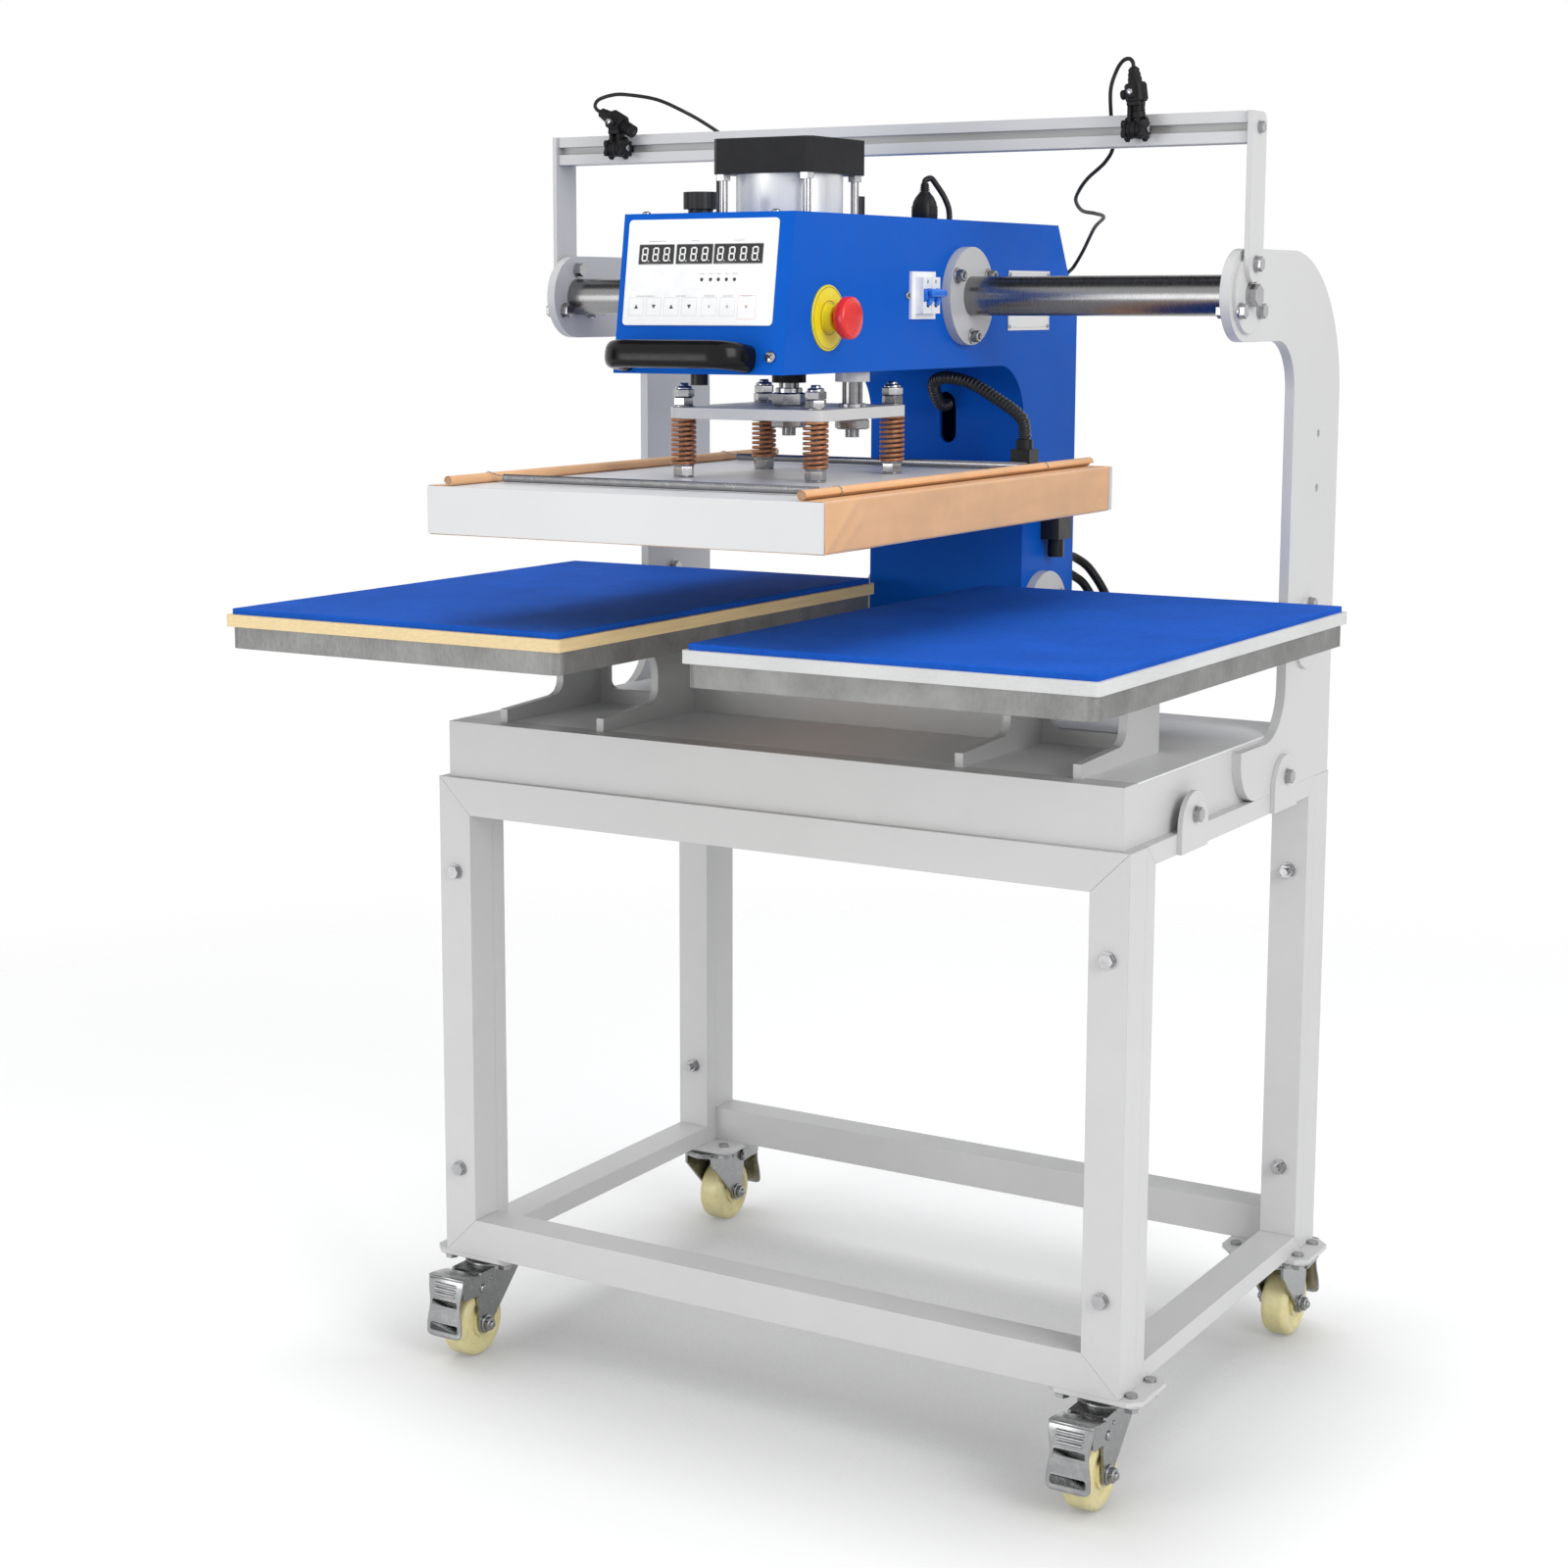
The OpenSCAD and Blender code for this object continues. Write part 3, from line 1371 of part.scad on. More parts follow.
module ptfe_cloth() {
  half = heater_width / 2;
  color("tan") translate([0, heater_front + cloth_front, 0])
    extrude_y(heater_depth - cloth_front - cloth_rear) difference() {
      translate([-half - cloth_t, heater_bottom])
        square([2 * half + 2 * cloth_t, heater_top + cloth_t - heater_bottom]);
      translate([-half, shell_low]) square([2 * half, heater_top - shell_low]);
      translate([-half + cloth_over, heater_top - cut])
        square([2 * half - 2 * cloth_over, cloth_t + 2 * cut]);
    }
}

wrap_rod_rear = 80;
module retaining_rods() {
  color("peru") for (sx = [-1, 1])
    translate([sx * (heater_width / 2 - rod_inset), heater_front + cloth_front + cloth_t,
      heater_top + cloth_t + rod_wrap_r])
      along_y() cylinder(r = rod_wrap_r, h = wrap_rod_rear - heater_front - cloth_front);
}

// helix about +Z: its points and the outward side vector of each
function helix_points(r, low, rise, curls) =
  [for (i = [0 : curls * 8]) [r * cos(i * ring_turn / 8), r * sin(i * ring_turn / 8),
    low + rise * i / (curls * 8)]];
function helix_sides(curls) = [for (i = [0 : curls * 8]) [cos(i * ring_turn / 8), sin(i * ring_turn / 8),
  0]];
function least_gap(p, skip, thick) =
  min([for (i = [0 : len(p) - 1 - skip], j = [i + skip : len(p) - 1]) norm(p[i] - p[j])]) - thick;

spring_low = heater_top + spring_nut_h + seam;
spring_rise = float_bottom - seam - spring_low - spring_wire_h;
spring_points = helix_points(spring_d / 2 - spring_wire_w / 2, spring_low + spring_wire_h / 2, spring_rise,
  spring_curls);

module pressure_springs() {
  echo(str("least gap between the curls of a pressure spring: ",
    least_gap(spring_points, 5, spring_wire_h), " mm"));
  color("chocolate") at_studs()
    tube(spring_points, helix_sides(spring_curls), spring_wire_w / 2, spring_wire_h / 2, 6);
}

tension_half = heater_width / 2 - rod_inset - rod_wrap_r - seam;
tension_z = heater_top + cloth_t + rod_wrap_r;
tension_end = 12;
tension_coil = tension_r - tension_wire_r;
tension_helix = helix_points(tension_coil, -tension_half + tension_end, 2 * tension_half - 2 * tension_end,
  tension_curls);
tension_points = [
  [0, 0, -tension_half], [0, 0, -tension_half + 2 * tension_wire_r],
  for (p = tension_helix) p,
  [0, 0, tension_half - 2 * tension_wire_r], [0, 0, tension_half]];

module tension_springs() {
  echo(str("least gap between the curls of a tension spring: ",
    least_gap(tension_helix, 5, 2 * tension_wire_r), " mm"));
  color("silver") for (y = tension_y) translate([0, y, tension_z]) along_x()
    tube(tension_points, path_sides(tension_points, 0, [1, 0, 0]), tension_wire_r, tension_wire_r, 6);
}

module spring_studs() {
  color("silver") at_studs() union() {
    translate([0, 0, stud_root]) cylinder(r = stud_r,
      h = float_top + seam + stud_nut_h + acorn_h / 2 - stud_root);
    translate([0, 0, heater_top]) hex(stud_nut_af, spring_nut_h);
    translate([0, 0, float_top + seam]) hex(stud_nut_af, stud_nut_h);
    translate([0, 0, float_top + seam + stud_nut_h]) intersection() {
      cylinder(d = stud_nut_af, h = acorn_h);
      sphere(acorn_h);
    }
  }
}

module hose_gland() {
  color("dimgray") translate([gland_x, gland_y, heater_top]) difference() {
    union() {
      translate([-gland_box / 2, -gland_box / 2, 0])
        cube([gland_box, gland_box, gland_box_h - gland_neck_h]);
      cylinder(r = hose_r + gland_wall, h = gland_box_h);
    }
    translate([0, 0, -cut]) cylinder(r = hose_bore_r, h = gland_box_h + 2 * cut);
  }
}
gland_wall = 2;
gland_neck_h = 10;

hose_path = [[2, 131, 1036], [2, 117, 1036], [3, 100, 1048], [10, 84, 1062], [32, 72, 1067], [62, 70, 1061],
  [92, 70, 1045], [112, 70, 1033], [122.5, 70, 1023], [125, 70, 1012], [125, 70, 1003.4]];
hose_rib_h = 0.9;

module heater_hose() {
  q = smooth_path(hose_path, 6);
  n = path_sides(q, 0, [1, 0, 0]);
  sides = 8;
  count = len(q);
  outer = [for (i = [0 : count - 1]) each ring(q[i], n[i], cross(path_dir(q, i), n[i]),
    hose_r - hose_rib_h * (i % 2), hose_r - hose_rib_h * (i % 2), sides)];
  inner = [for (i = [0 : count - 1]) each ring(q[i], n[i], cross(path_dir(q, i), n[i]),
    hose_bore_r, hose_bore_r, sides)];
  m = count * sides;
  color("dimgray") polyhedron(concat(outer, inner), concat(
    skin(count, sides),
    [for (f = skin(count, sides)) [f[2] + m, f[1] + m, f[0] + m]],
    [for (k = [0 : sides - 1]) let (b = (k + 1) % sides) each [[k, k + m, b], [b, k + m, b + m]]],
    [for (k = [0 : sides - 1]) let (b = (k + 1) % sides, e = (count - 1) * sides)
      each [[k + e, b + e, k + e + m], [b + e, b + e + m, k + e + m]]]));
}

// ---------- casters, drawn with the swivel axis at x = 0, y = 0 and the trail towards +Y
module fork_cheek_outline() {
  difference() {
    union() {
      polygon([[-fork_front, fork_top], [fork_shoulder, fork_top], [fork_ear_y, fork_top - fork_ear_drop],
        [fork_ear_y - fork_sheet, fork_top - 2 * fork_ear_drop], [caster_trail + fork_boss_r, wheel_r],
        [caster_trail - fork_boss_r, wheel_r], [-fork_front, fork_top - fork_nose]]);
      translate([caster_trail, wheel_r]) circle(fork_boss_r);
    }
    translate([caster_trail, wheel_r]) circle(axle_r + fit);
    translate([pedal_pin_y, pedal_pin_z]) circle(pedal_pin_r + fit);
  }
}

module caster_fork() {
  color("silver") {
    difference() {
      union() {
        for (s = [0, 1]) mirror([s, 0, 0]) translate([fork_inner, 0, 0])
          extrude_x(fork_sheet) fork_cheek_outline();
        translate([-fork_outer, -fork_front, fork_top - fork_sheet])
          cube([2 * fork_outer, fork_front + fork_shoulder, fork_sheet]);
        translate([0, 0, fork_top]) rotate_extrude() polygon([[0, -fork_sheet], [race_d / 2, -fork_sheet],
          [race_d / 2, race_h / 3], [race_top_d / 2, race_h - gap], [0, race_h - gap]]);
      }
      translate([0, 0, fork_top - 2 * fork_sheet])
        cylinder(r = kingpin_r + fit, h = race_h + 3 * fork_sheet);
    }
    translate([0, caster_trail, wheel_r]) along_x() union() {
      translate([0, 0, -fork_outer - axle_nut_h]) cylinder(r = axle_r, h = 2 * fork_outer + 2 * axle_nut_h);
      for (s = [0, 1]) mirror([0, 0, s]) translate([0, 0, fork_outer + seam]) hex(axle_nut_af, axle_nut_h);
    }
    translate([-fork_outer - pedal_side_gap - pedal_sheet - seam, pedal_pin_y, pedal_pin_z]) along_x()
      cylinder(r = pedal_pin_r, h = 2 * (fork_outer + pedal_side_gap + pedal_sheet + seam));
  }
}

module caster_wheel() {
  half = wheel_width / 2;
  color("cornsilk") translate([0, caster_trail, wheel_r]) along_x() rotate_extrude($fn = 96) difference() {
    union() {
      translate([bearing_r + fit, -half]) square([wheel_r - wheel_crown - bearing_r - fit, 2 * half]);
      translate([wheel_r - wheel_crown, -half + wheel_crown])
        square([wheel_crown, 2 * half - 2 * wheel_crown]);
      for (s = [-1, 1]) translate([wheel_r - wheel_crown, s * (half - wheel_crown)]) circle(wheel_crown);
    }
    for (s = [0, 1]) mirror([0, s]) polygon([[bearing_r + 2 * wheel_face_recess, half + cut],
      [bearing_r + 2 * wheel_face_recess, half - wheel_face_recess],
      [wheel_r * wheel_rim_share - wheel_face_recess, half - wheel_face_recess],
        [wheel_r * wheel_rim_share, half + cut]]);
  }
  color("dimgray") translate([-bearing_length / 2, caster_trail, wheel_r]) along_x() difference() {
    cylinder(r = bearing_r, h = bearing_length);
    translate([0, 0, -cut]) cylinder(r = axle_r + fit, h = bearing_length + 2 * cut);
  }
}

module caster_pedal() {
  inner = fork_outer + pedal_side_gap;
  outer = inner + pedal_sheet;
  top = fork_top + pedal_rise;
  color("silver") difference() {
    union() {
      translate([-outer, 0, 0]) extrude_x(2 * outer) polygon([
        [pedal_pin_y + pedal_pin_r, top - pedal_rise - pedal_sheet],
          [pedal_pin_y + pedal_pin_r, top - pedal_rise],
        [pedal_top_reach, top], [pedal_top_reach + pedal_sheet, top - pedal_sheet],
        [pedal_reach, pedal_bottom + pedal_sheet], [pedal_reach - pedal_sheet, pedal_bottom],
        [pedal_top_reach - pedal_sheet / 2, top - 2 * pedal_sheet]]);
      for (i = [0 : pedal_ridge_n - 1]) let (y = pedal_pin_y + pedal_ridge_start + i * pedal_ridge_pitch,
        z = top - pedal_rise * (pedal_top_reach - y) / (pedal_top_reach - pedal_pin_y))
        translate([-outer, y - pedal_ridge_w / 2, z - pedal_sheet / 2])
          cube([2 * outer, pedal_ridge_w, pedal_ridge_h + pedal_sheet / 2]);
      for (s = [0, 1]) mirror([s, 0, 0]) translate([inner, 0, 0]) extrude_x(pedal_sheet) union() {
        translate([pedal_pin_y, pedal_pin_z]) circle(2 * pedal_pin_r);
        polygon([[pedal_pin_y - pedal_pin_r, pedal_pin_z], [pedal_pin_y + pedal_pin_r, top - pedal_rise],
          [pedal_top_reach, top - pedal_sheet],
            [pedal_top_reach + pedal_sheet, pedal_pin_z - 3 * pedal_sheet],
          [pedal_pin_y, pedal_pin_z - 2 * pedal_pin_r]]);
      }
    }
    translate([-outer - cut, pedal_pin_y, pedal_pin_z]) along_x()
      cylinder(r = pedal_pin_r + fit, h = 2 * outer + 2 * cut);
  }
}

module at_caster(sx, sy) {
  translate([sx * caster_x, sy * caster_y, 0]) mirror([0, sy < 0 ? 1 : 0, 0]) children();
}

// moves the stand's middle so that the whole machine is centred on its origin
module placed() { translate([0, shift_y, 0]) children(); }

placed() stand_end_frames();
placed() stand_side_frames();
placed() caster_plates();
placed() frame_fasteners();
placed() base_frame();
placed() base_deck();
placed() side_plates();
placed() shaft_end_discs();
placed() guide_shafts();
placed() gantry_frame();
placed() table_brackets();
placed() table_bodies();
placed() table_plate_left();
placed() table_plate_right();
placed() table_pads();
placed() laser_clamp_left();
placed() laser_clamp_right();
placed() laser_head_left();
placed() laser_head_right();
placed() laser_cords();
placed() head_shell();
placed() control_panel();
placed() handle();
placed() bearing_flanges();
placed() head_screws();
placed() nameplate();
placed() breaker_body();
placed() breaker_toggle();
placed() estop_base();
placed() estop_button();
placed() regulator_knob();
placed() cylinder_barrel();
placed() cylinder_caps();
placed() tie_rods();
placed() air_fittings();
placed() power_plug();
placed() rear_hoses();
placed() ram_rods();
placed() floating_plate();
placed() heater_cover();
placed() heater_plate();
placed() ptfe_cloth();
placed() retaining_rods();
placed() tension_springs();
placed() spring_studs();
placed() pressure_springs();
placed() hose_gland();
placed() heater_hose();
placed() at_caster(-1, -1) caster_fork();  // caster_fork_front_left
placed() at_caster(-1, -1) caster_wheel();  // caster_wheel_front_left
placed() at_caster(-1, -1) caster_pedal();  // caster_pedal_front_left
placed() at_caster(1, -1) caster_fork();  // caster_fork_front_right
placed() at_caster(1, -1) caster_wheel();  // caster_wheel_front_right
placed() at_caster(1, -1) caster_pedal();  // caster_pedal_front_right
placed() at_caster(-1, 1) caster_fork();  // caster_fork_rear_left
placed() at_caster(-1, 1) caster_wheel();  // caster_wheel_rear_left
placed() at_caster(-1, 1) caster_pedal();  // caster_pedal_rear_left
placed() at_caster(1, 1) caster_fork();  // caster_fork_rear_right
placed() at_caster(1, 1) caster_wheel();  // caster_wheel_rear_right
placed() at_caster(1, 1) caster_pedal();  // caster_pedal_rear_right
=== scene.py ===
import math

import bmesh
import bpy
from mathutils import Matrix, Vector, noise


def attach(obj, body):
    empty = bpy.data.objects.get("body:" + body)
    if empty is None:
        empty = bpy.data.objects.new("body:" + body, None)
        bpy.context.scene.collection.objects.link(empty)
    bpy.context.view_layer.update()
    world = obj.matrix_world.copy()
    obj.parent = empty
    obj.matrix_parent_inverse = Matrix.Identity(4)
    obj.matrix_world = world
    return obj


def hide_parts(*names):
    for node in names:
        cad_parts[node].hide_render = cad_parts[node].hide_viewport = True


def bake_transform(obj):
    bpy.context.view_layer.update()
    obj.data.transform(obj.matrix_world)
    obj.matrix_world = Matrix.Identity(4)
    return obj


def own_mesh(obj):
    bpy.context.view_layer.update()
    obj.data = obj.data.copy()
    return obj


bl_info = {
    "name": "Dual station heat press",
    "version": (1, 0, 0),
    "blender": (4, 5, 0),
    "location": "3D View > Sidebar > Heat press",
    "description": "Dresses the heat press with its finishes, soft parts, springs, cords and small fittings",
    "category": "Object",
}

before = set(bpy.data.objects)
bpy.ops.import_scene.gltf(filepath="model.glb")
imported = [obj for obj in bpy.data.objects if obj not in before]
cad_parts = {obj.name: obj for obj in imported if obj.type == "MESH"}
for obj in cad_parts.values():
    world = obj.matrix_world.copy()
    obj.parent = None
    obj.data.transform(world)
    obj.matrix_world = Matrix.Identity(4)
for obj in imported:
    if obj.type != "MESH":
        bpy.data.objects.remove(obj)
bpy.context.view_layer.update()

# Sizes in millimetres, in the stand's own coordinates.
SHIFT = 101.0                             # the stand's middle lies this far behind the row frame's origin
HEAD_X = 94.0                             # the head's side, from its middle
HEAD_TOP = 1230.0
HEAD_FRONT_Y = -360.0                     # upper edge of the head's sloping front
LEAN = math.atan(22 / 150)                # slope of that front
FLANGE_FACE = HEAD_X + 10.05              # outer face of the bearing flanges
FLANGES = ((-15, 1153), (181, 803))       # (y, z) of the upper and the lower guide shaft
BOLT_CIRCLE = 41
STOP_AT = (HEAD_X, -299.0, 1132.0)
BREAKER_AT = (HEAD_X, -109.5, 1153.5)
NAMEPLATE_AT, NAMEPLATE = (HEAD_X, 139.0, 1148.5), (96, 57)
TABLE_X = 271.0                           # a table's middle, from the machine's middle
PAD_WIDE, PAD_LONG, PAD_THICK, PAD_TOP = 400.0, 600.0, 5.95, 844.0
RAM_Y = -210.0                            # the ram, and the middle of the tables
HEATER_TOP = 976.0
RETAINER_Z = 980.85                       # middle of the retaining rods and of the tension springs
SPRING_SEAT = 989.2                       # lower end of the pressure springs
FLOAT_LOW, FLOAT_TOP = 1034.0, 1045.0     # the floating plate
STUDS = [(sx * 75.0, RAM_Y + sy * 77.0) for sx in (-1, 1) for sy in (-1, 1)]
GUIDE_ROD_X, GUIDE_ROD_TOP = 72.0, 1205.0
PISTON_R, PISTON_THICK, PISTON_TOP = 49.9, 30, 1265.0
CASTER_X, CASTER_Y = 370.0, 228.0
AXLE_Y, AXLE_Z = 36, 37.5                 # a wheel's axle: its distance from the king pin, and its height
LIGHT_Y, LIGHT_Z = -46.5, 1313.0          # the joints of the two lights' arms


# ---------------------------------------------------------------- places and meshes
def mm(x, y, z):
    """A point in the stand's own millimetres, as metres in the row frame."""
    return Vector((x / 1000, (y + SHIFT) / 1000, z / 1000))


def front(u, v, w):
    """A point on the head's sloping front: u to the right, v down from the top edge, w outwards."""
    return (u, HEAD_FRONT_Y - w * math.cos(LEAN) - v * math.sin(LEAN),
            HEAD_TOP + w * math.sin(LEAN) - v * math.cos(LEAN))


class Mesh:
    """Points in millimetres and their faces, with the finish number of each face."""

    def __init__(self):
        self.points, self.faces, self.kinds = [], [], []

    def add(self, points, faces, kind=0):
        n = len(self.points)
        self.points += [tuple(p) for p in points]
        self.faces += [[i + n for i in f] for f in faces]
        self.kinds += [kind] * len(faces)
        return self

    def skin(self, rings, kind=0, closed=True, ends=(True, True)):
        """Faces between rings of as many points each."""
        k = len(rings[0])
        pts = [p for r in rings for p in r]
        faces = []
        for i in range(len(rings) - 1):
            for j in range(k if closed else k - 1):
                a, b = i * k + j, i * k + (j + 1) % k
                faces.append([a, b, b + k, a + k])
        if closed and ends[0]:
            faces.append(list(range(k))[::-1])
        if closed and ends[1]:
            faces.append([(len(rings) - 1) * k + j for j in range(k)])
        return self.add(pts, faces, kind)

    def lathe(self, profile, at, axis=(0, 0, 1), sides=32, kind=0):
        """A turned form: the profile is a list of (radius, height along the axis)."""
        a, u, v = crossways(axis)
        at = Vector(at)
        ways = [u * math.cos(t) + v * math.sin(t) for t in angles(sides)]
        return self.skin([[at + a * h + way * max(r, 0.001) for way in ways] for r, h in profile], kind)

    def tube(self, path, radius, sides=12):
        """A round tube along a path; the radius is a number or one number for each point."""
        path = [Vector(p) for p in path]
        radii = radius if isinstance(radius, (list, tuple)) else [radius] * len(path)
        return self.skin([[p + n * (r * math.cos(t)) + b * (r * math.sin(t)) for t in angles(sides)]
                          for p, (n, b), r in zip(path, sides_of(path), radii)])

    def bar(self, path, section, side):
        """A flat section, as (a, b) offsets, carried along a path."""
        path = [Vector(p) for p in path]
        return self.skin([[p + n * a + b * c for a, c in section]
                          for p, (n, b) in zip(path, sides_of(path, side))])

    def block(self, size, at, round_by, turn=Matrix.Identity(3)):
        """A box with rounded edges."""
        bm = bmesh.new()
        bmesh.ops.create_cube(bm, size=1.0)
        bmesh.ops.scale(bm, vec=Vector(size), verts=bm.verts)
        bmesh.ops.bevel(bm, geom=bm.edges[:], offset=min(round_by, min(size) * 0.49), segments=3, profile=0.5,
                        affect="EDGES")
        bmesh.ops.transform(bm, matrix=Matrix.Translation(Vector(at)) @ turn.to_4x4(), verts=bm.verts)
        return self.take(bm)

    def plate(self, outline, thick, matrix, kind=0, round_by=0.0):
        """An outline in the matrix's X and Y, thick along its Z, with softened rims."""
        bm = bmesh.new()
        low = [bm.verts.new((x, y, 0)) for x, y in outline]
        face = bm.faces.new(low)
        out = bmesh.ops.extrude_face_region(bm, geom=[face])
        top = [e for e in out["geom"] if isinstance(e, bmesh.types.BMVert)]
        bmesh.ops.translate(bm, vec=(0, 0, thick), verts=top)
        bm.normal_update()
        if round_by:
            rim = [e for e in bm.edges if all(v in set(top) for v in e.verts)]
            bmesh.ops.bevel(bm, geom=rim, offset=round_by, segments=3, profile=0.5, affect="EDGES")
        bmesh.ops.recalc_face_normals(bm, faces=bm.faces)
        bmesh.ops.transform(bm, matrix=matrix, verts=bm.verts)
        return self.take(bm, kind)

    def take(self, bm, kind=0):
        """The points and faces of a bmesh, which is freed."""
        bm.verts.index_update()
        self.add([v.co.copy() for v in bm.verts], [[v.index for v in f.verts] for f in bm.faces], kind)
        bm.free()
        return self

    def nut(self, across, high, at, axis=(0, 0, 1), kind=0, turn=0.0, chamfer=0.06):
        """A hexagon with its corners turned down, as on a bolt head or a nut."""
        a, u, v = crossways(axis)
        at = Vector(at)

        def ring(h, corners, share=1.0):
            """A ring at height h, round or with six corners, at its share of the full size."""
            out = []
            for t in angles(24, math.radians(turn)):
                r = across / 2
                if corners:
                    r /= math.cos(math.radians((math.degrees(t) - turn) % 60 - 30))
                out.append(at + a * h + (u * math.cos(t) + v * math.sin(t)) * (r * share))
            return out

        drop = chamfer * across
        return self.skin([ring(0, False, 0.96), ring(drop * 0.6, True, 0.995), ring(drop, True),
                          ring(high - drop, True), ring(high - drop * 0.6, True, 0.995),
                          ring(high, False, 0.96)], kind)

    def build(self, name, finishes, body=None, sharp=35.0):
        """The mesh as an object in the row frame."""
        me = bpy.data.meshes.new(name)
        me.from_pydata([mm(*p) for p in self.points], [], self.faces)
        for f in finishes:
            me.materials.append(finish(f))
        me.polygons.foreach_set("material_index", self.kinds)
        me.polygons.foreach_set("use_smooth", [True] * len(self.faces))
        me.update()
        bm = bmesh.new()
        bm.from_mesh(me)
        bmesh.ops.recalc_face_normals(bm, faces=bm.faces)
        limit = math.radians(sharp)
        for e in bm.edges:
            e.smooth = e.is_boundary or (len(e.link_faces) == 2 and e.calc_face_angle(0) < limit)
        bm.to_mesh(me)
        bm.free()
        o = bpy.data.objects.new(name, me)
        bpy.context.scene.collection.objects.link(o)
        if body:
            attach(o, body)
        return o


def angles(count, start=0.0):
    """As many angles, evenly spread over a full turn."""
    return [start + 2 * math.pi * j / count for j in range(count)]


def crossways(axis):
    """The unit vector along an axis, and two across it."""
    a = Vector(axis).normalized()
    u = a.orthogonal().normalized()
    return a, u, a.cross(u)


def sides_of(path, side=None):
    """Two unit vectors across the path at each point, carried along without twist."""
    out = []
    n = None
    for i in range(len(path)):
        d = (path[min(i + 1, len(path) - 1)] - path[max(i - 1, 0)]).normalized()
        if n is None:
            n = Vector(side) if side is not None else d.orthogonal()
        n = (n - n.dot(d) * d).normalized()
        out.append((n, d.cross(n)))
    return out


def spline(points, steps):
    """A smooth line through points."""
    p = [Vector(q) for q in points]
    out = []
    for i in range(len(p) - 1):
        a, b, c, d = p[max(i - 1, 0)], p[i], p[i + 1], p[min(i + 2, len(p) - 1)]
        for s in range(steps):
            t = s / steps
            out.append((2 * b + (c - a) * t + (2 * a - 5 * b + 4 * c - d) * t ** 2
                        + (3 * b - a - 3 * c + d) * t ** 3) / 2)
    return out + [p[-1]]


def length_of(path):
    return sum((b - a).length for a, b in zip(path, path[1:]))


def even(path, step):
    """The same line with points a fixed step apart."""
    total = length_of(path)
    count = max(2, round(total / step))
    out, i, gone = [path[0]], 0, 0.0
    for k in range(1, count):
        want = total * k / count
        while gone + (path[i + 1] - path[i]).length < want:
            gone += (path[i + 1] - path[i]).length
            i += 1
        out.append(path[i].lerp(path[i + 1], (want - gone) / (path[i + 1] - path[i]).length))
    return out + [path[-1]]


def oblong(w, h, u=0.0, v=0.0):
    """A plain rectangle about the point (u, v)."""
    return [(u - w / 2, v - h / 2), (u + w / 2, v - h / 2), (u + w / 2, v + h / 2), (u - w / 2, v + h / 2)]


def rounded(w, h, r, steps=5):
    """A rectangle with rounded corners, about its middle."""
    out = []
    for cx, cy, a in ((w / 2 - r, h / 2 - r, 0), (-w / 2 + r, h / 2 - r, 90), (-w / 2 + r, -h / 2 + r, 180),
                      (w / 2 - r, -h / 2 + r, 270)):
        for k in range(steps + 1):
            t = math.radians(a + 90 * k / steps)
            out.append((cx + r * math.cos(t), cy + r * math.sin(t)))
    return out


def axes(at, x, y):
    """A matrix whose X and Y run along x and y from the point at."""
    x, y = Vector(x).normalized(), Vector(y).normalized()
    z = x.cross(y)
    return Matrix.Translation(Vector(at)) @ Matrix((x, y, z)).transposed().to_4x4()


# ---------------------------------------------------------------- finishes
class Sock:
    """A shader socket that can stand in a Python sum."""

    def __init__(self, look, out):
        self.look, self.out = look, out

    def __add__(self, o):
        return self.look.math("ADD", self, o)

    def __mul__(self, o):
        return self.look.math("MULTIPLY", self, o)

    def __sub__(self, o):
        return self.look.math("SUBTRACT", self, o)

    def __rsub__(self, o):
        return self.look.math("SUBTRACT", o, self)

    def __pow__(self, o):
        return self.look.math("POWER", self, o)

    def __rpow__(self, o):
        return self.look.math("POWER", o, self)

    __radd__, __rmul__ = __add__, __mul__


class Nodes:
    """A node tree, filled through one method."""

    def __init__(self, tree):
        self.tree = tree
        tree.nodes.clear()

    def node(self, kind, sockets=None, **settings):
        """One node: its settings first, then the values or the links of its sockets."""
        n = self.tree.nodes.new("ShaderNode" + kind)
        for k, v in settings.items():
            setattr(n, k, v)
        for k, v in (sockets or {}).items():
            if isinstance(v, Sock):
                self.tree.links.new(v.out, n.inputs[k])
            else:
                n.inputs[k].default_value = v
        return n

    def math(self, op, *values):
        return Sock(self, self.node("Math", dict(enumerate(values)), operation=op).outputs[0])


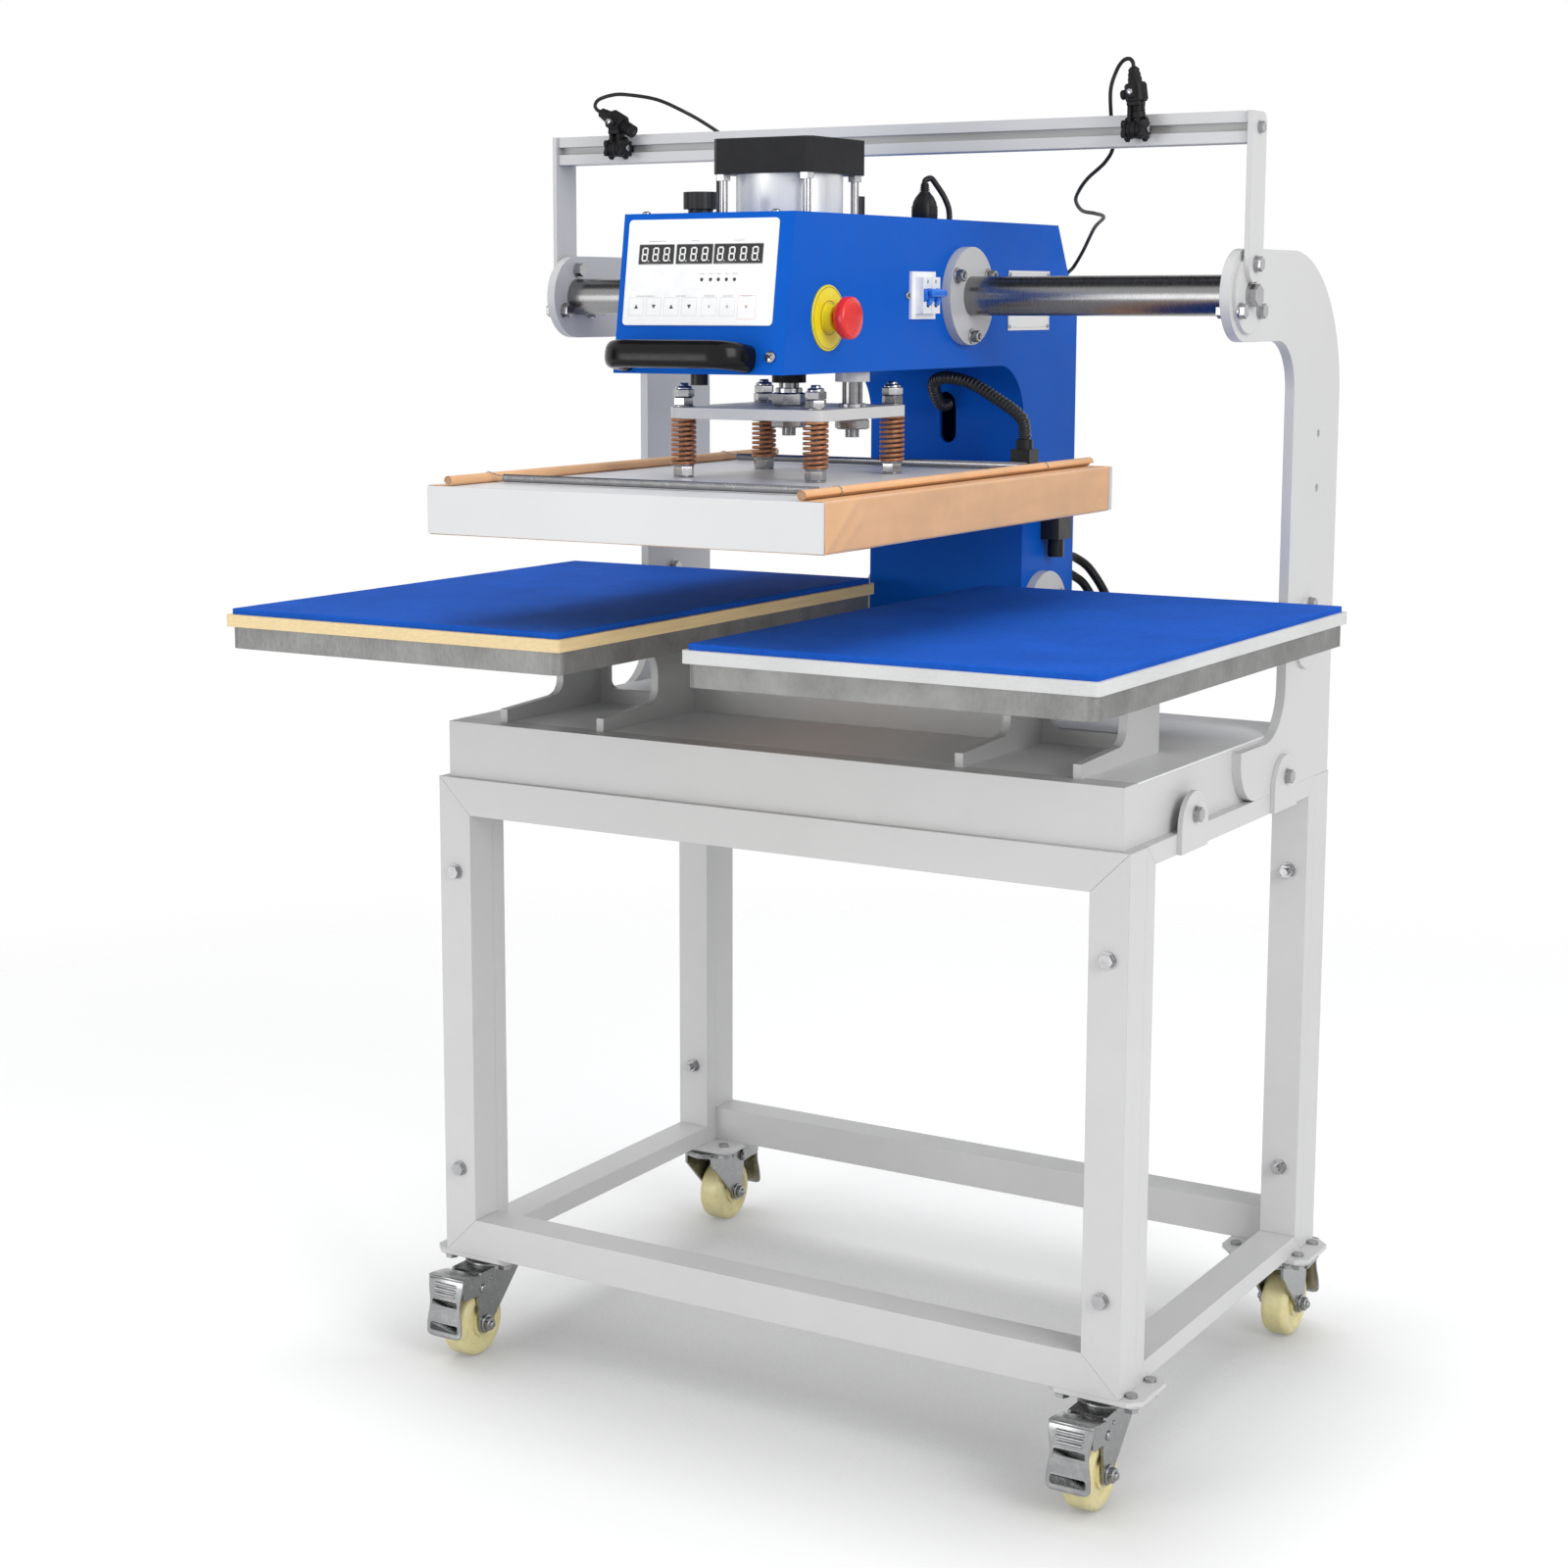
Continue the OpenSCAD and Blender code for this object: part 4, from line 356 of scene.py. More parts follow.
class Look(Nodes):
    """One finish: a Principled shader and the nodes that vary it."""

    def __init__(self, name, colour, edge=0.0, **values):
        self.mat = bpy.data.materials.new(name)
        self.mat.use_nodes = True
        super().__init__(self.mat.node_tree)
        self.colour = (*colour, 1)
        self.shader = self.node("BsdfPrincipled", {"Base Color": self.colour})
        self.out = self.node("OutputMaterial", {"Surface": Sock(self, self.shader.outputs[0])})
        self.where = Sock(self, self.node("TexCoord").outputs["Object"])
        self.height = None
        if edge:
            self.height = Sock(self, self.node("Bevel", {"Radius": edge / 1000}, samples=4).outputs[0])
        self.set(**values)

    def set(self, **values):
        """Values or links of the shader's own sockets."""
        for k, v in values.items():
            s = self.shader.inputs[k.replace("_", " ")]
            if isinstance(v, Sock):
                self.tree.links.new(v.out, s)
            else:
                s.default_value = v
        return self

    def at(self, size, stretch=(1, 1, 1)):
        """Where the surface is, in units of size millimetres."""
        scale = [1000 * s / size for s in stretch]
        return Sock(self, self.node("Mapping", {"Vector": self.where, "Scale": scale}).outputs[0])

    def noise(self, size, detail=2.0, rough=0.5, stretch=(1, 1, 1), twist=0.0):
        sockets = {"Vector": self.at(size, stretch), "Scale": 1.0, "Detail": detail, "Roughness": rough,
                   "Distortion": twist}
        return Sock(self, self.node("TexNoise", sockets).outputs[0])

    def cells(self, size, stretch=(1, 1, 1), feature="F1"):
        return Sock(self, self.node("TexVoronoi", {"Vector": self.at(size, stretch), "Scale": 1.0},
                                    feature=feature).outputs[0])

    def axis(self, which):
        """One coordinate, in millimetres."""
        n = self.node("SeparateXYZ", {0: self.where})
        return Sock(self, n.outputs[which]) * 1000.0

    def fade(self, value, low, high, a=0.0, b=1.0):
        return Sock(self, self.node("MapRange", {0: value, 1: low, 2: high, 3: a, 4: b}).outputs[0])

    def mix(self, factor, a, b):
        def col(c):
            return c if isinstance(c, Sock) else (*c[:3], 1)
        return Sock(self, self.node("Mix", {0: factor, 6: col(a), 7: col(b)}, data_type="RGBA").outputs[2])

    def tones(self, factor, dark, light):
        """The finish's own colour, from a darker tone to a lighter one."""
        return self.mix(factor, shade(self.colour, dark), shade(self.colour, light))

    def bump(self, height, deep):
        """Relief of so many millimetres, laid over what is there already."""
        sockets = {"Height": height, "Distance": deep / 1000, "Strength": 1.0}
        if self.height is not None:
            sockets["Normal"] = self.height
        self.height = Sock(self, self.node("Bump", sockets).outputs[0])
        return self.set(Normal=self.height)


def shade(colour, by):
    return tuple(min(1.0, c * by) for c in colour[:3])


def powder(name, colour, rough, peel, soil):
    """Sprayed paint: a fine orange peel, slow changes of tone and of gloss."""
    k = Look(name, colour, 1.0)
    tone = k.noise(230, 3, 0.55)
    fine = k.noise(26, 4, 0.6)
    mask = k.fade(tone * 0.7 + fine * 0.3, 0.36, 0.66)
    k.set(Base_Color=k.tones(mask, 1 - soil, 1 + soil * 0.5),
          Roughness=k.fade(fine, 0.3, 0.7, rough - 0.05, rough + 0.07))
    k.bump(k.noise(2.4, 2, 0.5) * 0.7 + k.noise(0.9, 1) * 0.3, peel)
    return k


def plated(name, colour, rough, cloud, scratch):
    """Zinc or chrome plate, with clouds in its gloss and fine scratches."""
    k = Look(name, colour, 0.35, Metallic=1.0)
    c = k.noise(9, 4, 0.65)
    k.set(Base_Color=k.tones(k.fade(c, 0.35, 0.7), 0.9, 1.06),
          Roughness=k.fade(c, 0.3, 0.72, rough, rough + cloud))
    k.bump(k.noise(2.2, 2, 0.5), scratch)
    return k


def moulded(name, colour, rough, grain, size=0.8, coat=0.0):
    """Moulded plastic or rubber."""
    k = Look(name, colour, 0.4, Coat_Weight=coat, Coat_Roughness=0.05)
    c = k.noise(14, 3, 0.6)
    k.set(Base_Color=k.tones(c, 0.88, 1.1),
          Roughness=k.fade(c, 0.3, 0.7, rough - 0.06, rough + 0.08))
    k.bump(k.noise(size, 2, 0.6), grain)
    return k


def turned(name, colour, rough, lines, along, depth):
    """Ground or turned metal with fine lines round an axis; along is that axis, by its number."""
    k = Look(name, colour, Metallic=1.0)
    stretch = [0.02, 0.02, 0.02]
    stretch[along] = 1.0
    fine = k.noise(lines, 3, 0.7, stretch)
    slow = k.noise(60, 3, 0.5)
    k.set(Base_Color=k.tones(fine, 0.86, 1.08),
          Roughness=k.fade(fine * 0.6 + slow * 0.4, 0.3, 0.7, rough - 0.05, rough + 0.1))
    k.bump(fine, depth)
    return k


def make_stand_paint():
    return powder("stand_paint", STYLE.stand_colour, 0.38, 0.018, 0.035)


def make_head_paint():
    return powder("head_paint", STYLE.head_colour, 0.4, 0.022, 0.07).set(Specular_IOR_Level=0.06)


def make_pad():
    k = Look("pad_sponge", STYLE.pad_colour, Specular_IOR_Level=0.06)
    slow, pores = k.noise(120, 3, 0.6), k.cells(1.7)
    k.set(Base_Color=k.tones(k.fade(slow * 0.6 + k.noise(7, 3, 0.7) * 0.4, 0.35, 0.68), 0.82, 1.12),
          Roughness=k.fade(pores, 0.1, 0.8, 0.86, 0.7))
    k.bump(k.fade(pores, 0.05, 0.6), 0.16).bump(k.noise(0.5, 2, 0.7), 0.05)
    return k


def make_cast():
    k = Look("cast_aluminium", (0.23, 0.23, 0.225), 1.2, Metallic=0.55)
    lump, grain = k.cells(4.2, (1, 1, 0.55), "SMOOTH_F1"), k.noise(1.2, 3, 0.7, (1, 1, 0.35))
    k.set(Base_Color=k.tones(k.fade(grain * 0.5 + k.noise(40, 3, 0.6) * 0.5, 0.35, 0.68), 0.72, 1.35),
          Roughness=k.fade(grain, 0.3, 0.7, 0.42, 0.62))
    k.bump(lump, 0.35).bump(grain, 0.12)
    return k


def make_board():
    k = Look("wrapped_board", (0.80, 0.62, 0.33), 0.6)
    grain = k.noise(5, 4, 0.6, (1, 0.08, 3), 0.4)
    k.set(Base_Color=k.tones(k.fade(grain * 0.6 + k.noise(160, 2) * 0.4, 0.35, 0.7), 0.86, 1.14),
          Roughness=k.fade(grain, 0.3, 0.7, 0.4, 0.58))
    k.bump(grain, 0.05)
    return k


def make_plain_plate():
    k = Look("plate_edge", (0.66, 0.66, 0.66), 0.6)
    grain = k.noise(3, 3, 0.6, (1, 0.2, 2))
    k.set(Base_Color=k.tones(k.fade(k.noise(70, 3) * 0.5 + grain * 0.5, 0.35, 0.7), 0.88, 1.06),
          Roughness=k.fade(grain, 0.3, 0.7, 0.45, 0.6))
    k.bump(grain, 0.04)
    return k


def make_cloth():
    k = Look("coated_glass_cloth", STYLE.cloth_colour, Specular_IOR_Level=0.2)
    thread_gap = 0.55
    warp = k.math("SINE", k.axis("Y") * (math.pi / thread_gap))
    weft = k.math("SINE", (k.axis("X") + k.axis("Z")) * (math.pi / thread_gap))
    weave = warp * weft
    slow, streak = k.noise(90, 4, 0.6), k.noise(24, 3, 0.6, (1, 0.12, 1))
    k.set(Base_Color=k.tones(k.fade(slow * 0.55 + streak * 0.3 + weave * 0.06, 0.3, 0.62), 0.84, 1.08),
          Roughness=k.fade(slow, 0.3, 0.7, 0.36, 0.52))
    k.bump(weave, 0.03).bump(k.noise(16, 3, 0.5, (1, 0.5, 1)), 0.25)
    return k


def make_heater_paint():
    return powder("heater_paint", (0.70, 0.70, 0.705), 0.42, 0.02, 0.05)


def make_spring():
    k = Look("copper_coloured_wire", (0.42, 0.175, 0.085), Metallic=0.45)
    n = k.noise(3, 4, 0.7)
    k.set(Base_Color=k.tones(k.fade(n, 0.35, 0.7), 0.6, 1.3),
          Roughness=k.fade(n, 0.3, 0.7, 0.32, 0.55))
    k.bump(k.noise(0.7, 3, 0.7), 0.03)
    return k


def make_wheel():
    k = Look("cream_nylon", (0.78, 0.70, 0.37), Subsurface_Weight=0.15,
             Subsurface_Radius=(0.01, 0.008, 0.004), Subsurface_Scale=0.2)
    n, wear = k.noise(22, 4, 0.6), k.noise(1.6, 3, 0.7)
    k.set(Base_Color=k.tones(k.fade(n, 0.35, 0.72), 0.84, 1.06),
          Roughness=k.fade(wear, 0.3, 0.7, 0.24, 0.4))
    k.bump(wear, 0.02)
    return k


def make_barrel():
    k = Look("anodised_barrel", (0.85, 0.845, 0.82), Metallic=0.55)
    fine = k.noise(0.8, 2, 0.6, (1, 1, 0.02))
    k.set(Base_Color=k.tones(fine, 0.9, 1.05), Roughness=k.fade(fine, 0.3, 0.7, 0.34, 0.5))
    k.bump(fine, 0.008)
    return k


def make_segments_with_painted_glow():
    # The faint emission is a painted glow that brightens the pale segments of the dark displays.
    k = Look("display_segments", (0.7, 0.7, 0.7), Roughness=0.4, Emission_Color=(0.75, 0.75, 0.75, 1),
             Emission_Strength=0.2)
    return k.set(Base_Color=k.tones(k.noise(1.5, 2), 0.9, 1.1))


FINISHES = {
    "stand": make_stand_paint,
    "deck": lambda: powder("deck_paint", (0.86, 0.86, 0.865), 0.45, 0.02, 0.06),
    "blue": make_head_paint,
    "pad": make_pad,
    "cast": make_cast,
    "board": make_board,
    "plate": make_plain_plate,
    "cloth": make_cloth,
    "heater": make_heater_paint,
    "spring": make_spring,
    "wheel": make_wheel,
    "barrel": make_barrel,
    "zinc": lambda: plated("zinc_plate", (0.42, 0.42, 0.43), 0.17, 0.12, 0.001),
    "caster": lambda: plated("caster_zinc", (0.33, 0.333, 0.337), 0.2, 0.12, 0.001),
    "shaft": lambda: turned("ground_shaft", (0.285, 0.285, 0.285), 0.25, 0.5, 0, 0.0003),
    "rod": lambda: turned("ground_rod", (0.22, 0.22, 0.225), 0.2, 1.2, 2, 0.002),
    "anodised": lambda: moulded("black_anodised", (0.016, 0.016, 0.017), 0.4, 0.006, 0.6).set(
        Specular_IOR_Level=0.12),
    "gloss": lambda: moulded("gloss_black", (0.006, 0.006, 0.007), 0.21, 0.002, 3.0).set(
        Specular_IOR_Level=0.2),
    "black": lambda: moulded("black_plastic", (0.014, 0.014, 0.015), 0.36, 0.015).set(Specular_IOR_Level=0.3),
    "rubber": lambda: moulded("black_lead", (0.010, 0.010, 0.011), 0.4, 0.01, 0.5).set(
        Specular_IOR_Level=0.28),
    "conduit": lambda: moulded("corrugated_hose", (0.024, 0.024, 0.025), 0.3, 0.008, 0.6),
    "grey": lambda: powder("bush_paint", (0.52, 0.52, 0.525), 0.34, 0.015, 0.05),
    "white": lambda: moulded("white_plastic", (0.90, 0.91, 0.93), 0.3, 0.01, 1.2),
    "membrane": lambda: moulded("membrane", (0.94, 0.94, 0.95), 0.34, 0.012, 0.45),
    "line": lambda: moulded("membrane_line", (0.45, 0.46, 0.48), 0.4, 0.01),
    "redline": lambda: moulded("membrane_red_line", (0.75, 0.32, 0.30), 0.4, 0.01),
    "mark": lambda: moulded("membrane_mark", (0.02, 0.02, 0.025), 0.4, 0.01),
    "window": lambda: moulded("display_window", (0.006, 0.006, 0.007), 0.16, 0.003, 2.0, 0.4),
    "digit": make_segments_with_painted_glow,
    "toggle": lambda: moulded("blue_lever", (0.01, 0.17, 0.72), 0.28, 0.01),
    "yellow": lambda: moulded("yellow_disc", (0.86, 0.72, 0.015), 0.35, 0.012),
    "red": lambda: moulded("red_button", (0.80, 0.02, 0.018), 0.26, 0.01, 1.0, 0.2),
    "bare": lambda: turned("satin_sheet", (0.74, 0.74, 0.74), 0.4, 0.5, 2, 0.002),
    "dark": lambda: moulded("shadow_black", (0.01, 0.01, 0.01), 0.6, 0.01),
    "tread": lambda: moulded("pedal_tread", (0.035, 0.035, 0.036), 0.5, 0.25, 1.6),
    "brown": lambda: moulded("rod_brown", (0.42, 0.24, 0.12), 0.5, 0.02),
}
MADE = {}


def finish(name):
    if name not in MADE:
        MADE[name] = FINISHES[name]().mat
    return MADE[name]


# ---------------------------------------------------------------- sizes and colours a user may change
def colour(name, text, value):
    return bpy.props.FloatVectorProperty(name=name, description=text, default=value, size=3, min=0, max=1,
                                         subtype="COLOR")


def power(name, text, value):
    return bpy.props.FloatProperty(name=name, description=text, default=value, min=0, unit="POWER")


class PressColours(bpy.types.PropertyGroup):
    """The main finishes."""
    stand_colour: colour("Stand paint", "Colour of the stand, base and side plates", (0.62, 0.62, 0.615))
    head_colour: colour("Head paint", "Colour of the press head", (0.003, 0.108, 0.56))
    pad_colour: colour("Pads", "Colour of the two printing pads", (0.012, 0.100, 0.52))
    cloth_colour: colour("Cloth", "Colour of the coated cloth round the heater", (0.86, 0.50, 0.26))


class PressForms(bpy.types.PropertyGroup):
    """Sizes of the soft and wound pieces."""
    pad_edge: bpy.props.FloatProperty(
        name="Pad edge", description="Rounding of the pads' rims, in millimetres", default=1.6, min=0.2,
        max=2.8)
    cloth_fold: bpy.props.FloatProperty(
        name="Cloth folds", description="Height of the folds in the cloth, in millimetres", default=1.3,
        min=0.0, max=4.0)
    curls: bpy.props.IntProperty(
        name="Spring curls", description="Curls of each pressure spring", default=10, min=6, max=12)


class PressStage(bpy.types.PropertyGroup):
    """Camera and light."""
    camera_at: bpy.props.FloatVectorProperty(
        name="Camera", description="Place of the camera", size=3, default=(1.3713, -2.4436, 1.1456),
        subtype="TRANSLATION", unit="LENGTH")
    camera_turn: bpy.props.FloatVectorProperty(
        name="Camera turn", description="Rotation of the camera", size=3, subtype="EULER", unit="ROTATION",
        default=(math.radians(81.5), math.radians(0.04), math.radians(31.84)))
    lens: bpy.props.FloatProperty(name="Lens", description="Focal length in millimetres on a 36 mm frame",
                                  default=62.2, min=20, max=200)
    room: bpy.props.FloatProperty(name="Room light", description="Strength of the even light from all round",
                                  default=0.64, min=0, max=2, subtype="FACTOR")
    key: power("Key light", "Power of the main lamp", 80.0)
    fill: power("Fill light", "Power of the fill lamp", 36.0)
    top: power("Top light", "Power of the lamp overhead", 44.0)


GROUPS = {"press_colours": PressColours, "press_forms": PressForms, "press_stage": PressStage}


class Style:
    """The properties as they stand in the scene."""

    def __getattr__(self, name):
        for group in (getattr(bpy.context.scene, g) for g in GROUPS):
            if name in type(group).__annotations__:
                v = getattr(group, name)
                return tuple(v) if hasattr(v, "__len__") else v
        raise AttributeError(name)


STYLE = Style()

NODES_IN = {
    "stand": ("stand_end_frames", "stand_side_frames", "caster_plates", "base_frame", "side_plates",
              "shaft_end_discs", "gantry_frame", "table_brackets", "floating_plate"),
    "zinc": ("frame_fasteners", "tie_rods", "tension_springs", "spring_studs"),
    "deck": ("base_deck",),
    "shaft": ("guide_shafts",),
    "cast": ("table_bodies", "heater_plate"),
    "board": ("table_plate_left",),
    "plate": ("table_plate_right",),
    "pad": ("table_pads",),
    "anodised": ("laser_clamp_left", "laser_clamp_right", "laser_head_left", "laser_head_right",
                 "cylinder_caps"),
    "rubber": ("laser_cords", "power_plug", "rear_hoses"),
    "blue": ("head_shell",),
    "membrane": ("control_panel",),
    "gloss": ("handle",),
    "grey": ("bearing_flanges",),
    "caster": ("head_screws",),
    "bare": ("nameplate",),
    "white": ("breaker_body",),
    "toggle": ("breaker_toggle",),
    "yellow": ("estop_base",),
    "red": ("estop_button",),
    "black": ("regulator_knob", "air_fittings", "hose_gland", "heater_hose"),
    "barrel": ("cylinder_barrel",),
    "rod": ("ram_rods",),
    "heater": ("heater_cover",),
    "cloth": ("ptfe_cloth",),
    "spring": ("pressure_springs",),
    "brown": ("retaining_rods",),
}
NODE_FINISH = {node: kind for kind, nodes in NODES_IN.items() for node in nodes}
for _corner in ("front_left", "front_right", "rear_left", "rear_right"):
    NODE_FINISH["caster_fork_" + _corner] = NODE_FINISH["caster_pedal_" + _corner] = "caster"
    NODE_FINISH["caster_wheel_" + _corner] = "wheel"


class PRESS_OT_metal(bpy.types.Operator):
    """Gives every rigid piece of the frame its finish"""
    bl_idname = "press.metal"
    bl_label = "Finishes"

    def execute(self, context):
        for name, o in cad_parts.items():
            o.data.materials.clear()
            o.data.materials.append(finish(NODE_FINISH[name]))
        return {"FINISHED"}


class PRESS_OT_stage(bpy.types.Operator):
    """Sets the camera, the pale floor, the world and three soft lamps"""
    bl_idname = "press.stage"
    bl_label = "Stage"

    def execute(self, context):
        scene = context.scene
        cam = bpy.data.objects.new("camera", bpy.data.cameras.new("camera"))
        cam.location, cam.rotation_euler = STYLE.camera_at, STYLE.camera_turn
        cam.data.sensor_width, cam.data.lens = 36.0, STYLE.lens
        cam.data.shift_x, cam.data.shift_y = 0.0397, -0.0482
        scene.collection.objects.link(cam)
        scene.camera = cam
        scene.view_settings.view_transform = "Standard"
        self.world(scene)
        self.floor()
        for name, at, aim, size, watts in (
                ("key_lamp", (3.7, -1.5, 2.4), (0.1, 0, 0.7), 2.2, STYLE.key),
                ("fill_lamp", (-1.7, -3.5, 0.75), (0, 0, 0.7), 1.8, STYLE.fill),
                ("top_lamp", (-0.4, -0.2, 3.9), (0, 0, 0.9), 2.6, STYLE.top)):
            lamp = bpy.data.lights.new(name, "AREA")
            lamp.shape, lamp.size, lamp.energy = "SQUARE", size, watts
            o = bpy.data.objects.new(name, lamp)
            o.location = at
            o.rotation_mode = "QUATERNION"
            o.rotation_quaternion = (Vector(aim) - Vector(at)).to_track_quat("-Z", "Y")
            o.visible_glossy = name != "top_lamp"
            scene.collection.objects.link(o)
        for name, (x, y, z), wide, high, flat in (
                ("dark_screen_left", (-3000.0, -1900.0, 1200.0), 1200.0, 1800.0, False),
                ("dark_screen_right", (3400.0, 1200.0, 1200.0), 1100.0, 2200.0, False),
                ("dark_screen_back", (-1200.0, 3400.0, 1300.0), 1000.0, 2200.0, False),
                ("dark_screen_above", (-800.0, 400.0, 3000.0), 2600.0, 3800.0, True)):
            self.screen(name, x, y, z, wide, high, flat)
        return {"FINISHED"}

    def screen(self, name, x, y, z, wide, high, flat):
        """A dark screen that only shiny surfaces see, as a photographer sets up for metal."""
        across, up = ((1, 0, 0), (0, 1, 0)) if flat else ((y, -x, 0), (0, 0, 1))
        o = Mesh().plate(oblong(wide, high), 10, axes((x, y - SHIFT, z), across, up)).build(name, ["dark"])
        o.visible_camera = o.visible_diffuse = o.visible_shadow = False

    def world(self, scene):
        """An even pale room, which the camera and shiny surfaces see as white."""
        scene.world = bpy.data.worlds.new("room")
        scene.world.use_nodes = True
        t = Nodes(scene.world.node_tree)
        ray = t.node("LightPath").outputs
        seen = t.math("MAXIMUM", Sock(t, ray["Is Camera Ray"]), Sock(t, ray["Is Transmission Ray"]))
        seen = t.math("MAXIMUM", seen, Sock(t, ray["Is Glossy Ray"]))
        room = t.node("Background", {"Color": (0.98, 0.99, 1.0, 1), "Strength": STYLE.room})
        white = t.node("Background", {"Color": (1, 1, 1, 1), "Strength": 1.0})
        both = t.node("MixShader", {0: seen, 1: Sock(t, room.outputs[0]), 2: Sock(t, white.outputs[0])})
        t.node("OutputWorld", {"Surface": Sock(t, both.outputs[0])})

    def floor(self):
        """A pale floor with painted shade under the stand, which fades out far away."""
        k = Look("pale_floor", (0.86, 0.86, 0.86), Roughness=0.9)
        # Painted shade: the occlusion under the stand, mottled and held within a margin round it, darkens the
        # floor's colour.
        openness = Sock(k, k.node("AmbientOcclusion", {"Distance": 1.1}, samples=8).outputs["AO"])
        x, y = k.axis("X"), k.axis("Y")
        outside = k.math("MAXIMUM", k.math("ABSOLUTE", x) - 400.0, k.math("ABSOLUTE", y - 90.0) - 270.0)
        under = 1.0 - k.fade(openness, 0.4, 0.95, 0.62, 0.05)
        shadow = under * k.fade(k.noise(300, 2), 0.3, 0.7, 0.985, 1.0)
        tone = 1.0 - (1.0 - shadow) * k.fade(outside, -60.0, 200.0, 1.0, 0.0)
        k.set(Base_Color=k.mix(tone, (0.0, 0.0, 0.0), (0.87, 0.87, 0.87)))
        plain, ray = Sock(k, k.shader.outputs[0]), k.node("LightPath").outputs
        seen = k.math("ADD", Sock(k, ray["Is Camera Ray"]), Sock(k, ray["Is Glossy Ray"]))
        lift = k.node("Emission", {"Color": (1, 1, 1, 1), "Strength": 0.2})
        lifted = k.node("AddShader", {0: plain, 1: Sock(k, lift.outputs[0])})
        near = k.node("MixShader", {0: k.math("MINIMUM", seen, 1.0), 1: plain, 2: Sock(k, lifted.outputs[0])})
        clear = k.node("BsdfTransparent")
        far = k.fade((x * x + y * y) ** 0.5, 1300.0, 2600.0)
        edge = k.node("MixShader", {0: far, 1: Sock(k, near.outputs[0]), 2: Sock(k, clear.outputs[0])})
        k.tree.links.new(edge.outputs[0], k.out.inputs["Surface"])
        MADE["floor"] = k.mat
        rings = [[(r * math.cos(t), r * math.sin(t) - SHIFT, -0.6) for t in angles(48)]
                 for r in (2800, 1400, 1)]
        Mesh().skin(rings, ends=(False, True)).build("floor", ["floor"])


# ---------------------------------------------------------------- pieces
def put(name, body, finishes, mesh, stands_for=(), sharp=35.0):
    o = mesh.build(name, finishes, body, sharp)
    if stands_for:
        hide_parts(*stands_for)
    return o


def rough(x, y, z, size, seed=0.0):
    """Smooth noise from -1 to 1 over distances of about size millimetres."""
    return noise.noise(Vector((x / size + seed, y / size, z / size)))


class PRESS_OT_pads(bpy.types.Operator):
    """Two sponge pads with soft rims and a slightly uneven top"""
    bl_idname = "press.pads"
    bl_label = "Pads"

    def execute(self, context):
        for side, x in (("left", -TABLE_X), ("right", TABLE_X)):
            o = put("pad_" + side, "frame", ["pad"], self.sponge(x), ["table_pads"], 60)
        return {"FINISHED"}

    def sponge(self, x):
        half_x, half_y, corner = PAD_WIDE / 2, PAD_LONG / 2, 3.0
        r = STYLE.pad_edge
        near = [0.0, 0.12, 0.4, 0.9, 1.7, 3.0, 6.0]    # rows of points near a rim, by their distance from it
        margin, step = 12, 9

        def line(half):
            inner = 2 * (half - margin)
            count = round(inner / step)
            middle = [-half + margin + inner * i / count for i in range(count + 1)]
            return [-half + d for d in near] + middle + [half - d for d in reversed(near)]

        xs, ys = line(half_x), line(half_y)
        pts = []
        for b in ys:
            for a in xs:
                u, v = a, b
                past_x, past_y = abs(a) - half_x + corner, abs(b) - half_y + corner
                if past_x > 0 and past_y > 0 and math.hypot(past_x, past_y) > corner:
                    k = corner / math.hypot(past_x, past_y)
                    u = math.copysign(half_x - corner + past_x * k, a)
                    v = math.copysign(half_y - corner + past_y * k, b)
                d = min(half_x - abs(a), half_y - abs(b))
                z = PAD_TOP - r + math.sqrt(max(0.0, r * r - (r - min(d, r)) ** 2))
                if d < corner:
                    u += 0.22 * rough(a, b, x, 14) * (abs(a) > half_x - 4)
                    v += 0.22 * rough(b, a, x, 14) * (abs(b) > half_y - 4)
                z += 0.1 * rough(a, b, x, 34) - 0.1 + 0.05 * rough(a, b, x, 9)
                pts.append((x + u, RAM_Y + v, z))
        nx, ny = len(xs), len(ys)
        faces = [[j * nx + i, j * nx + i + 1, (j + 1) * nx + i + 1, (j + 1) * nx + i]
                 for j in range(ny - 1) for i in range(nx - 1)]
        rim = list(range(nx)) + [j * nx + nx - 1 for j in range(1, ny)] + \
            [(ny - 1) * nx + i for i in range(nx - 2, -1, -1)] + [j * nx for j in range(ny - 2, 0, -1)]
        n, k = len(pts), len(rim)
        pts += [(pts[i][0], pts[i][1], PAD_TOP - PAD_THICK) for i in rim]
        faces += [[rim[i], rim[(i + 1) % k], n + (i + 1) % k, n + i] for i in range(k)]
        faces.append([n + i for i in range(k)])
        return Mesh().add(pts, faces)


# A crease in the cloth's right side: (y, z) of its two ends, its width and its share of the folds' height.
CREASES = ((-511, 934, -458, 975, 3.4, 1.0), (-490, 931, -449, 958, 2.6, 0.7),
           (-300, 975, -236, 938, 7.0, 0.35), (40, 933, 76, 974, 4.0, 0.7), (-120, 934, -60, 972, 6.0, 0.3))


